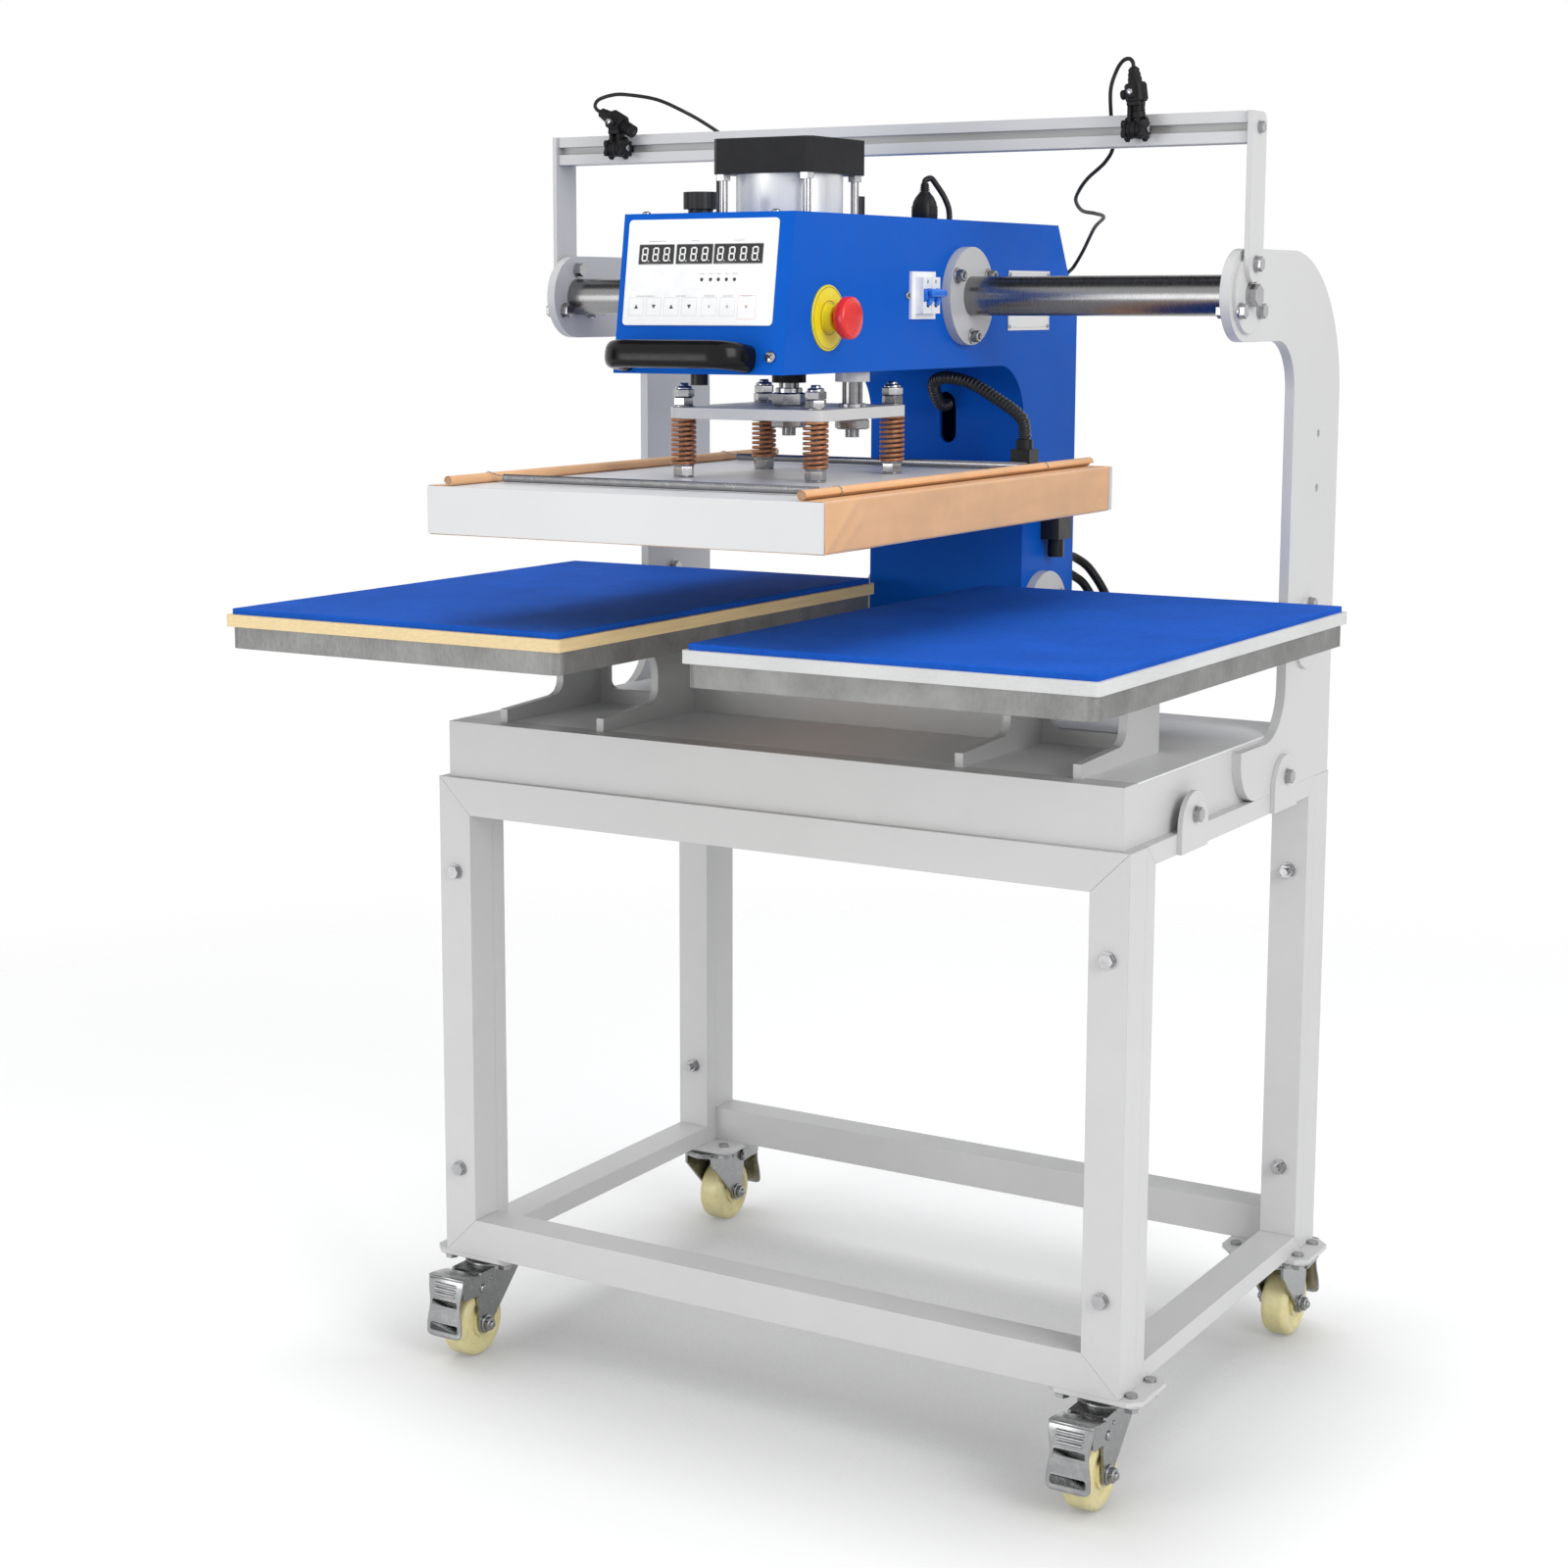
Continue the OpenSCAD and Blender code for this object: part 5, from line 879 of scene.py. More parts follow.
class PRESS_OT_cloth(bpy.types.Operator):
    """The coated cloth that wraps the heater, with its folds and its turns round the two rods"""
    bl_idname = "press.cloth"
    bl_label = "Coated cloth"

    def execute(self, context):
        right = self.half()
        path = [(-x, z, -nx, nz) for x, z, nx, nz in reversed(right)] + right
        y0, y1, step = -515.0, 87.0, 5.0       # the front edge, the rear edge, and the distance of two rows
        rows = round((y1 - y0) / step)
        rings = []
        for i in range(rows + 1):
            y = y0 + (y1 - y0) * i / rows
            hem = 0.5 * (i in (0, rows))
            rings.append([])
            for x, z, nx, nz in path:
                d = self.fold(x, y, z)
                rings[-1].append((x + nx * d, y + hem * rough(x, z, 3, 30), z + nz * d))
        o = Mesh().skin(rings, closed=False).build("coated_cloth", ["cloth"])
        thick = o.modifiers.new("thick", "SOLIDIFY")
        thick.thickness, thick.offset = 0.0003, 1.0
        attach(o, "heater")
        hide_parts("ptfe_cloth")
        return {"FINISHED"}

    def half(self):
        """The right half of the section from the middle of the underside, with outward normals."""
        def bend(x, z, r, start):
            return [(x + r * math.cos(t), z + r * math.sin(t), math.cos(t), math.sin(t))
                    for t in (math.radians(start + 90 * k / 6) for k in range(7))]

        out = [(x, 930.35, 0.0, -1.0) for x in (0.5, 40, 80, 120, 150, 175, 190, 200, 208)]
        out += bend(213.0, 932.7, 2.4, -90)
        out += [(215.4, z, 1.0, 0.0) for z in range(936, 974, 3)]
        out += bend(213.2, 974.3, 2.2, 0)
        out += [(x, 976.5, 0.0, 1.0) for x in (210, 206, 202, 198, 195)]
        for k in range(23):
            t = math.radians(-90 - 13.0 * k)
            r = 4.35 - 0.004 * k
            out.append((192 + r * math.cos(t), RETAINER_Z + r * math.sin(t), math.cos(t), math.sin(t)))
        return out

    def fold(self, x, y, z):
        """How far the cloth stands off its place: slow waves and the creases of the sides."""
        h = STYLE.cloth_fold
        side = max(0.0, min(1.0, (abs(x) - 190) / 22)) * (z < 976.2)
        lift = 0.12 + 0.35 * h * max(0.0, rough(x * 0.3, y, z * 1.6, 46, 4 if x > 0 else 9)) * side
        if abs(x) > 214:
            for y0, z0, y1, z1, wide, high in CREASES:
                if x < 0:
                    y0, y1 = y0 + 12, y1 - 9
                a, b = y1 - y0, z1 - z0
                t = max(-0.2, min(1.2, ((y - y0) * a + (z - z0) * b) / (a * a + b * b)))
                d = math.hypot(y - y0 - a * t, z - z0 - b * t)
                lift += h * high * math.exp(-(d / wide) ** 2) * math.exp(-max(0, abs(t - 0.5) - 0.4) * 6)
        if z < 930.6:
            lift += 0.12 * (1 + rough(x, y, 0, 60))
        return lift


def coil(m, x, y, low, high, middle, section, turns):
    """A coil spring about Z with closed ends, ground flat."""
    per_turn = 40                  # points in a turn
    dead, pitch = 0.85, 2.5        # turns that lie flat at an end, and their pitch
    rings, count = [], int(turns * per_turn)
    span = high - low - pitch * dead
    for i in range(count + 1):
        t = i / per_turn
        if t < dead:
            z = low + pitch * t * 0.5
        elif t > turns - dead:
            z = high - pitch * (turns - t) * 0.5
        else:
            z = low + pitch * dead * 0.5 + span * (t - dead) / (turns - 2 * dead)
        c, s = math.cos(2 * math.pi * t), math.sin(2 * math.pi * t)
        rings.append([(x + (middle + p) * c, y + (middle + p) * s, min(high, max(low, z + q)))
                      for p, q in section])
    m.skin(rings)


class PRESS_OT_springs(bpy.types.Operator):
    """Four flat-wire pressure springs and two fine closed tension springs"""
    bl_idname = "press.springs"
    bl_label = "Springs"

    def execute(self, context):
        low, high = SPRING_SEAT, FLOAT_LOW - 0.1
        m = Mesh()
        for x, y in STUDS:
            coil(m, x, y, low, high, 10.0, rounded(5.0, 3.1, 0.8, 3), STYLE.curls + 0.6)
        o = put("pressure_springs_wound", "ram", ["spring"], m, ["pressure_springs"], 50)
        mm(0, 0, high)
        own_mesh(o)
        m = Mesh()
        for y in (-452.0, -25.0):
            self.tension(m, y)
        put("tension_springs_wound", "heater", ["zinc"], m, ["tension_springs"], 60)
        return {"FINISHED"}

    def tension(self, m, y):
        """A closed coil between the retaining rods, with a hook at each end."""
        end, r, wire, pitch, points = 187.2, 3.45, 0.52, 1.12, 10
        body = end - 14
        count = round(2 * body / pitch) * points
        rings = []
        for i in range(count + 1):
            t = 2 * math.pi * i / points
            x = -body + 2 * body * i / count
            rings.append([(x + wire * math.sin(a), y + (r + wire * math.cos(a)) * math.cos(t),
                           RETAINER_Z + (r + wire * math.cos(a)) * math.sin(t)) for a in angles(5)])
        m.skin(rings)
        hook = ((-14, 3.4, 0), (-10, 2, 1.75), (-5, 0, 2.75), (1, 0, 4.75), (5, 0, 5.35), (9.6, 0, 2.75),
                (10.2, 0, -0.25), (8.4, 0, -2.45))
        for sx in (-1, 1):
            m.tube(spline([(sx * (end + a), y + b, RETAINER_Z + c) for a, b, c in hook], 5), 0.55, 8)


# Routes of the cords and hoses, from the end that is seen to the end that goes inside.
HOSE = [(2, 131, 1036), (2, 117, 1036), (3, 100, 1048), (10, 84, 1062), (32, 72, 1067), (62, 70, 1061),
        (92, 70, 1045), (112, 70, 1033), (122.5, 70, 1023), (125, 70, 1012), (125, 70, 1003.4)]
CORD_LEFT = [(-336.3, -46.5, 1352.9), (-340.5, -46.5, 1355.2), (-343, -46.5, 1360), (-338, -46, 1366),
             (-322, -45, 1370), (-304, -44, 1370), (-270, -35, 1364), (-244, -20, 1351), (-228, 0, 1338),
             (-205, 20, 1318), (-165, 28, 1288), (-120, 20, 1256), (-94, 11, 1244), (-85, 7, 1236),
             (-84, 7, 1230.4)]
CORD_RIGHT = [(290.5, -46.5, 1373.1), (289.9, -46.5, 1377), (286, -46, 1380.5), (279, -45, 1379),
              (268, -35, 1371), (251, -10, 1355), (241, 15, 1330), (241, 22, 1303), (229, 30, 1287),
              (201, 50, 1272), (182, 70, 1260), (170, 90, 1251), (164, 120, 1242), (165, 150, 1240),
              (160, 184, 1237), (131, 225, 1227), (105, 254, 1203), (90, 263, 1186), (87, 256, 1180),
              (86, 247.8, 1174.7), (86, 243.4, 1172.3)]
REAR = [
    [(84, 265.3, 862), (84, 274, 862), (88, 288, 858), (100, 300, 845), (118, 306, 815), (132, 298, 782),
     (142, 276, 757), (148, 246, 744), (150, 214, 741), (150, 190, 735), (150, 174, 724), (150, 168, 712),
     (150, 168, 704.4)],
    [(84, 265.3, 842), (84, 274, 842), (87, 287, 837), (96, 297, 826), (110, 302, 798), (121, 292, 768),
     (128, 268, 746), (131, 240, 737), (132, 212, 736), (132, 189, 731), (132, 174, 723), (132, 168, 712),
     (132, 168, 704.4)],
    [(66, 265.3, 824), (66, 274, 824), (69, 287, 819), (78, 296, 808), (93, 300, 782), (104, 288, 755),
     (110, 264, 739), (113, 238, 733), (114, 210, 732), (114, 188, 728), (114, 174, 722), (114, 168, 712),
     (114, 168, 704.4)],
]
RIB_PITCH, RIB_DEPTH = 4.6, 1.25
PLUG_AT = (71.0, -60.0)
LEAD = [(71, -60, 1266.3), (71.3, -59.5, 1269), (75, -54, 1271), (79, -49, 1264), (84, -44, 1254),
        (88, -41, 1243), (89, -40, 1235), (89, -40, 1230.3)]


def lay(name, route, radius, finishes, bodies, stands_for, sides=10, step=3.0,
        with_pieces=(), ribs=None, turns_at=()):
    """A cord, cable or hose: a tube on one smooth line.

    With more than two bodies it is laid in lengths, one for each joint on its way, which meet at the
    route's points numbered in turns_at.
    """
    path = even(spline(route, 40 if ribs else 12), ribs / 4 if ribs else step)
    rings = []
    for i, (n, b) in enumerate(sides_of(path)):
        r = radius - (RIB_DEPTH if ribs and i % 4 > 1 else 0.0)
        rings.append([path[i] + n * (r * math.cos(t)) + b * (r * math.sin(t)) for t in angles(sides)])
    cuts = [0, *(min(range(len(path)), key=lambda i: (path[i] - Vector(route[k])).length) for k in turns_at),
            len(path) - 1]
    for k, (low, high) in enumerate(zip(cuts, cuts[1:])):
        o = Mesh().skin(rings[low:high + 1]).build(name + ("_%d" % k if turns_at else ""), finishes)
        part = path[low:high + 1]
        if len(bodies) > 1:
            mm(*part[0])
            mm(*part[-1])
            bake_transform(o)
        else:
            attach(o, bodies[0])
        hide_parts(*stands_for)
        mm(*part[0])
        length_of(part) / 1000
        [tuple(mm(*p)) for p in part]


class PRESS_OT_cords(bpy.types.Operator):
    """The cords of the two lights, the power lead, the rear hoses and the heater's corrugated hose"""
    bl_idname = "press.cords"
    bl_label = "Cords and hoses"

    def execute(self, context):
        for side, route, turns in (("left", CORD_LEFT, (5, 8)), ("right", CORD_RIGHT, (5, 10))):
            lay("light_cord_" + side, route, 2.0, ["rubber"],
                ("light_head_" + side, "light_clamp_" + side, "frame", "press_head"), ["laser_cords"],
                turns_at=turns)
        lay("heater_hose_ribbed", HOSE, 7.0, ["conduit"], ("press_head", "ram"), ["heater_hose"], 20,
            ribs=RIB_PITCH)
        for i, route in enumerate(REAR):
            lay("rear_hose_%d" % i, route, 5.0, ["rubber"], ("press_head", "frame"), ["rear_hoses"],
                16)
        lay("power_lead", LEAD, 3.0, ["rubber"], ("press_head",), ["power_plug"], 14, 1.5,
            [self.plug()])
        return {"FINISHED"}

    def plug(self):
        """The plug's body with its ribbed neck."""
        m = Mesh()
        px, py = PLUG_AT
        m.skin([[(px + x, py + y, z) for x, y in rounded(w, d, r, 4)]
                for z, w, d, r in ((1230.1, 21, 23, 5), (1231, 22, 24, 6), (1240, 22, 24, 6),
                                   (1247, 20.5, 22, 6.5), (1252, 17, 18, 6.5), (1255, 13.5, 14, 6.2),
                                   (1256.4, 11.5, 11.5, 5.6))])
        prof = [(5.6, 1256)]
        for k in range(4):
            z = 1256.6 + 2.2 * k
            prof += [(5.5 - 0.35 * k, z), (5.5 - 0.35 * k, z + 1.2), (3.9, z + 1.35), (3.9, z + 2.05)]
        prof += [(4.2, 1265.4), (3.4, 1266.2)]
        m.lathe(prof, (px, py, 0), sides=24)
        for x in (-11.3, 11.3):
            for k in range(4):
                m.block((0.9, 14, 1.1), (px + x, py, 1234.5 + 2.6 * k), 0.3)
        return put("power_plug_body", "press_head", ["rubber"], m, ["power_plug"])


# The seven strokes of a digit: how far right and up of its middle, and whether the stroke stands upright.
STROKES = ((0, 1, 0), (0.5, 0.5, 1), (0.5, -0.5, 1), (0, -1, 0), (-0.5, -0.5, 1), (-0.5, 0.5, 1), (0, 0, 0))
OUTWARDS = (0, -math.cos(LEAN), math.sin(LEAN))    # square to the head's sloping front


class PRESS_OT_panel(bpy.types.Operator):
    """The membrane panel with three dark displays, five lamps and its row of keys"""
    bl_idname = "press.panel"
    bl_label = "Control panel"

    def execute(self, context):
        m = Mesh()
        face = 1.43                      # outer face of the membrane
        digits, keys = 39, 88.4          # height of the digits' and the keys' middle, down the front
        membrane, window, rim, stroke, mark, line, red = range(7)

        def put_on(outline, thick, u, v, w, kind, round_by=0.0):
            place = axes(front(u, v, w), (1, 0, 0), (0, math.sin(LEAN), math.cos(LEAN)))
            m.plate(outline, thick, place, kind, round_by)

        def key(u, v, wide, high, kind):
            for a, b, c, d in ((0, high / 2, wide, 0.25), (0, -high / 2, wide, 0.25),
                               (wide / 2, 0, 0.25, high), (-wide / 2, 0, 0.25, high)):
                put_on(oblong(c, d, a, b), 0.03, u, v, 1.44, kind)

        put_on(rounded(166, 100, 4), 1.35, -4.0, 56.0, 0.1, membrane, 0.35)
        for u, wide, count in ((-53.5, 39, 3), (-11, 40, 3), (37.5, 53, 4)):
            put_on(rounded(wide + 1.4, 19.6, 1.0, 2), 0.12, u, digits, 1.4, rim, 0.05)
            put_on(rounded(wide, 18.2, 0.5, 2), 0.15, u, digits, 1.45, window, 0.05)
            for k in range(count):
                middle = u + (k - (count - 1) / 2) * (wide - 2.5) / count
                for right, up, tall in STROKES:
                    end, thin = (5.9 if tall else 5.0) / 2, 0.75
                    shape = [(-end, 0), (-end + 0.55, thin), (end - 0.55, thin), (end, 0),
                             (end - 0.55, -thin), (-end + 0.55, -thin)]
                    if tall:
                        shape = [(-b, a) for a, b in shape]
                    put_on([(a + right * 5.4 + 0.42 * up, b + up * 5.9) for a, b in shape], 0.06,
                           middle - 0.8, digits, 1.6, stroke)
                put_on(rounded(1.1, 1.1, 0.5, 3), 0.06, middle + 3.6, digits + 6.3, 1.6, stroke)
        for u in (-0.8, 8.9, 17.6, 26.4, 35.2):
            m.lathe([(1.75, 0), (1.75, 0.2), (1.2, 0.5), (0.4, 0.62)], front(u, 63, 1.4), OUTWARDS, 16, mark)
        for u, up in ((-72.4, 1), (-52.6, -1), (-32.7, 1), (-12.8, -1)):
            put_on([(-2.3, -1.9 * up), (2.3, -1.9 * up), (0, 2.1 * up)][::up], 0.05, u, keys, face, mark)
            key(u, keys, 16.5, 17.0, line)
        for u in (9.3, 29.2):
            put_on(oblong(2.4, 2.4), 0.05, u, keys, face, line)
            key(u, keys, 16.5, 17.0, line)
        put_on(oblong(2.4, 2.4), 0.05, 50, keys, face, red)
        key(50.5, 89, 19.5, 22.0, red)
        for u, v, wide in ((-53.5, 26.6, 19), (-11, 26.6, 9), (37.5, 26.6, 12), (-0.8, 57.6, 6),
                           (8.9, 57.6, 4), (17.6, 57.6, 5), (26.4, 57.6, 4), (35.2, 57.6, 6.5),
                           (-62.5, 78.4, 21), (-22.7, 78.4, 11), (9.3, 78.4, 12), (29.2, 78.4, 12),
                           (50, 78.4, 11)):
            put_on(rounded(wide, 0.7, 0.3, 2), 0.05, u, v, face, line)
        o = put("panel_membrane", "press_head",
                ["membrane", "window", "line", "digit", "mark", "line", "redline"], m, ["control_panel"])
        return {"FINISHED"}


def cushion(w, h, fullness):
    """A section between an ellipse and a rectangle: the fuller, the squarer it is."""
    def bulge(v):
        return math.copysign(abs(v) ** (2 / fullness), v)

    return [(w / 2 * bulge(math.cos(t)), h / 2 * bulge(math.sin(t))) for t in angles(32)]


class PRESS_OT_handle(bpy.types.Operator):
    """The gloss black pull handle under the panel and the screw beside it"""
    bl_idname = "press.handle"
    bl_label = "Handle"

    def execute(self, context):
        u0, v0 = -13.0, 137.0                      # the handle's middle on the front
        half, reach, bend = 67.0, 33.5, 21.0       # half its length, how far it stands off, its ends' radius
        route = [(-half, 0.3), (-half, reach - bend)]
        route += [(-half + bend - bend * math.cos(t), reach - bend + bend * math.sin(t))
                  for t in (math.radians(a) for a in range(15, 91, 15))]
        route += [(-half + bend + 11 * k, reach) for k in range(1, 5)]
        route += [(-u, w) for u, w in reversed(route)]
        section = cushion(20.5, 26.0, 2.7)
        rings = [[front(u0 + u - d.y * p, v0 + q, max(0.2, w + d.x * p)) for p, q in section]
                 for (u, w), d in zip(route, headings(route))]
        put("handle_bar", "press_head", ["gloss"], Mesh().skin(rings), ["handle"], 50)
        m = Mesh()
        screw(m, front(80, 135, 0.1), OUTWARDS, 5.6, 3.2)
        for x in (-76, 68):
            for y in (-350, -40):
                screw(m, (x, y, HEAD_TOP + 0.05), (0, 0, 1), 4.2, 2.4)
        put("head_small_screws", "press_head", ["zinc", "dark"], m)
        return {"FINISHED"}


def headings(route):
    """The direction of a flat route at each of its points."""
    points = [Vector(p) for p in route]
    before, after = [points[0], *points[:-1]], [*points[1:], points[-1]]
    return [(b - a).normalized() for a, b in zip(before, after)]


def screw(m, at, axis, r, high, kind=0, dark=1):
    """A pan head with its cross recess drawn as a raised black cross: painted shade."""
    m.lathe([(r, 0), (r, high * 0.3), (r * 0.93, high * 0.62), (r * 0.7, high * 0.88), (r * 0.35, high),
             (0.01, high)], at, axis, 24, kind)
    a, u, v = crossways(axis)
    top = Vector(at) + a * (high * 0.86)
    for p in (u, v):
        m.plate(oblong(r * 1.1, r * 0.22), high * 0.16, axes(top, p, a.cross(p)), dark)


class PRESS_OT_stop(bpy.types.Operator):
    """The emergency stop: a bare yellow disc, a collar and a red mushroom"""
    bl_idname = "press.stop"
    bl_label = "Emergency stop"

    def execute(self, context):
        m = Mesh()
        m.lathe([(31, 0.02), (31, 1.3), (30.6, 1.8), (30, 2.0), (13.2, 2.0), (13.0, 2.3), (12.6, 2.6),
                 (12.4, 6.8), (12.0, 9.4), (11.2, 9.9), (8.8, 10), (8.6, 3)], STOP_AT, (1, 0, 0), 72)
        for r in (29.2, 16.2):
            m.lathe([(r, 1.9), (r, 2.12), (r - 0.5, 2.12), (r - 0.5, 1.9)], STOP_AT, (1, 0, 0), 72, 1)
        put("stop_disc", "press_head", ["yellow", "mark"], m, ["estop_base"])
        m = Mesh()
        m.lathe([(7.6, -11), (7.6, 13.5), (15.4, 14.4), (15.9, 15.0), (16.2, 17.8), (17.2, 18.6),
                 (19.3, 19.1), (19.95, 19.9), (20, 21.2), (20, 25.6), (19.7, 26.9), (18.7, 28.0),
                 (17.0, 28.6), (13, 28.95), (7, 29), (0.01, 29)], STOP_AT, (1, 0, 0), 72)
        o = put("stop_mushroom", "stop_button", ["red"], m, ["estop_button"], 50)
        return {"FINISHED"}


class PRESS_OT_breaker(bpy.types.Operator):
    """The breaker's face, its two blue levers and the bare plate behind the shaft"""
    bl_idname = "press.breaker"
    bl_label = "Breaker and plates"

    def execute(self, context):
        x, y, z = BREAKER_AT
        m = Mesh()

        def on_face(outline, thick, w, v, up, kind, round_by=0.0):
            m.plate(outline, thick, axes((x + w, y + v, z + up), (0, 1, 0), (0, 0, 1)), kind, round_by)

        for s in (-1, 1):
            m.lathe([(2.0, 0), (2.0, 0.1), (1.7, 0.12), (1.5, 0.05)], (x + 12, y + s * 8.5, z + 13.5),
                    (1, 0, 0), 20, 2)
            on_face(rounded(9, 13, 4.4, 6), 0.5, 11.8, s * 8.4, -6.5, 0, 0.2)
            # A black sheet inside the collar stands for the lever's opening: painted shade.
            on_face(rounded(6.6, 9.5, 3.2, 6), 0.1, 12.25, s * 8.4, -7.2, 1)
        screw(m, (x + 0.05, y - 29.6, z), (1, 0, 0), 4.0, 2.4, 3, 1)
        on_face(oblong(0.5, 36), 0.05, 12.0, 0, 0, 2)
        put("breaker_marks", "press_head", ["white", "dark", "line", "zinc"], m)
        self.levers(x + 8.5, y, z)
        self.rivets(*NAMEPLATE_AT)
        return {"FINISHED"}

    def levers(self, x, y, z):
        """The round middle that turns about (x, z), and two levers joined by a bridge."""
        m = Mesh()
        m.skin([[(x + r * math.cos(t), y + a, z + r * math.sin(t)) for t in angles(32)]
                for a, r in ((-17, 5.5), (-16.6, 6.6), (-15.8, 7), (-0.8, 7), (-0.4, 6.5), (0.4, 6.5),
                             (0.8, 7), (15.8, 7), (16.6, 6.6), (17, 5.5))])
        for s in (-1, 1):
            hook = [(x + 3.0 + 4.2 * math.cos(t), y + s * 8.4, z - 1.5 + 8.2 * math.sin(t))
                    for t in (math.radians(66 - 12 * k) for k in range(12))]
            m.bar(hook, rounded(3.2, 7.4, 1.1, 3), (1, 0, 0.3))
            m.block((10.5, 8.2, 5.6), (x + 7.7, y + s * 8.4, z + 2.4), 1.6)
            for k in range(3):
                m.block((0.7, 6.0, 0.5), (x + 8.4 + 1.3 * k, y + s * 8.4, z + 6.0), 0.2)
        m.block((5.8, 31.5, 7.6), (x + 10.6, y, z + 2.2), 2.0)
        put("breaker_levers", "breaker_lever", ["toggle"], m, ["breaker_toggle"], 40)

    def rivets(self, x, y, z):
        """The nameplate's rivets and the fine line round its rim."""
        m = Mesh()
        wide, high = NAMEPLATE
        for sy in (-1, 1):
            for sz in (-1, 1):
                m.lathe([(2.3, 0), (2.2, 0.7), (1.6, 1.2), (0.6, 1.45), (0.01, 1.5)],
                        (x + 1.0, y + sy * (wide / 2 - 1), z + sz * (high / 2 - 1)), (1, 0, 0), 20)
        for side in (oblong(wide, 0.5, 0, -high / 2), oblong(wide, 0.5, 0, high / 2),
                     oblong(0.5, high, -wide / 2, 0), oblong(0.5, high, wide / 2, 0)):
            m.plate(side, 0.05, axes((x + 1.0, y, z), (0, 1, 0), (0, 0, 1)), 1)
        put("plate_rivets", "press_head", ["zinc", "line"], m)


class PRESS_OT_lights(bpy.types.Operator):
    """The two positioning lights: ribbed barrels in clamp rings on jointed arms"""
    bl_idname = "press.lights"
    bl_label = "Positioning lights"

    def execute(self, context):
        for side, x, lean, arm in (("left", -314.0, -62.0, 18.0), ("right", 294.0, -8.0, 25.0)):
            put("light_barrel_" + side, "light_head_" + side, ["anodised", "zinc", "window"],
                self.light(x, LIGHT_Y, LIGHT_Z, math.radians(lean), arm), ["laser_head_" + side])
        return {"FINISHED"}

    def light(self, x, y, z, lean, arm):
        """The fork and its hand wheels about the joint, and the barrel that leans at the end of the arm."""
        m = Mesh()
        fork, wheel = 2.8, 7.0
        for s in (-1, 1):
            m.lathe([(8.2, 0), (9, 0.6), (9, 3.4), (8.4, 4), (6.6, 4), (6.4, 3.5), (4.6, 3.5), (4.4, 4.2),
                     (0.01, 4.2)], (x + s * fork, y, z), (s, 0, 0), 32)
            for a in angles(14):
                m.block((3.0, 1.5, 0.8), (x + s * (fork + 2.1), y + 8.9 * math.cos(a), z + 8.9 * math.sin(a)),
                        0.3, Matrix.Rotation(a, 3, "X"))
            m.block((3.8, 13, arm - 4), (x + s * (fork + 2), y, z + (arm + 2) / 2), 1.2)
        lobes = [(t, 10.6 + 1.9 * math.cos(5 * t)) for t in angles(60)]
        for s in (-1, 1):
            m.skin([[(x + s * (wheel + h), y + k * r * math.cos(t), z + k * r * math.sin(t))
                     for t, r in lobes]
                    for h, k in ((0, 0.9), (0.7, 1.0), (3.6, 1.0), (4.6, 0.9), (5.0, 0.6))])
            m.nut(6, 2.6, (x + s * (wheel + 5), y, z), (s, 0, 0), 1)
        m.lathe([(2.9, -2.8), (2.9, 2.8)], (x, y, z), (1, 0, 0), 16)
        m.block((13.6, 17, 6.5), (x, y, z + arm), 1.6)
        m.nut(5.5, 3.0, (x + fork + 4.2, y, z), (1, 0, 0), 1)
        d = Vector((math.sin(lean), 0, math.cos(lean)))
        c = Vector((x, y, z + arm + 10))
        profile = [(0.01, -24.6), (3.4, -24.6), (3.8, -24.9), (6.2, -24.9), (6.8, -24.2), (6.8, -19.2),
                   (6.2, -18.6)]
        for k in range(6):
            a = -18.2 + 2.5 * k
            profile += [(5.9, a), (7.0, a + 0.3), (7.0, a + 1.5), (5.9, a + 1.8)]
        profile += [(6.9, -2.6), (6.9, 14), (6.2, 15), (6.2, 18.4), (5.4, 19.4), (5.4, 22.6), (4.0, 23.8),
                    (3.2, 24.8), (0.01, 24.9)]
        m.lathe(profile, c, d, 40)
        m.lathe([(0.01, -25.0), (2.6, -25.0), (2.6, -24.7)], c, d, 20, 2)
        m.lathe([(7, -9), (9.6, -9), (10.2, -8.3), (10.2, 8.3), (9.6, 9), (7, 9)], c, d, 40)
        y_axis = Vector((0, 1, 0))
        u = d.cross(y_axis).normalized()
        for t in angles(12):
            rib = c + (y_axis * math.cos(t) + u * math.sin(t)) * 10.1
            m.tube([rib - d * 7.6, rib + d * 7.6], 0.9, 8)
        m.block((5.4, 8.5, 11.5), c - y_axis * 10.2, 1.0, Matrix.Rotation(lean, 3, "Y"))
        m.nut(5.5, 3.2, c - y_axis * 14.2, (0, -1, 0), 1)
        m.lathe([(3.6, 0), (4.8, 0.8), (4.8, 5), (4.0, 5.8), (0.01, 5.8)], c + u * 9.6, u, 24)
        return m


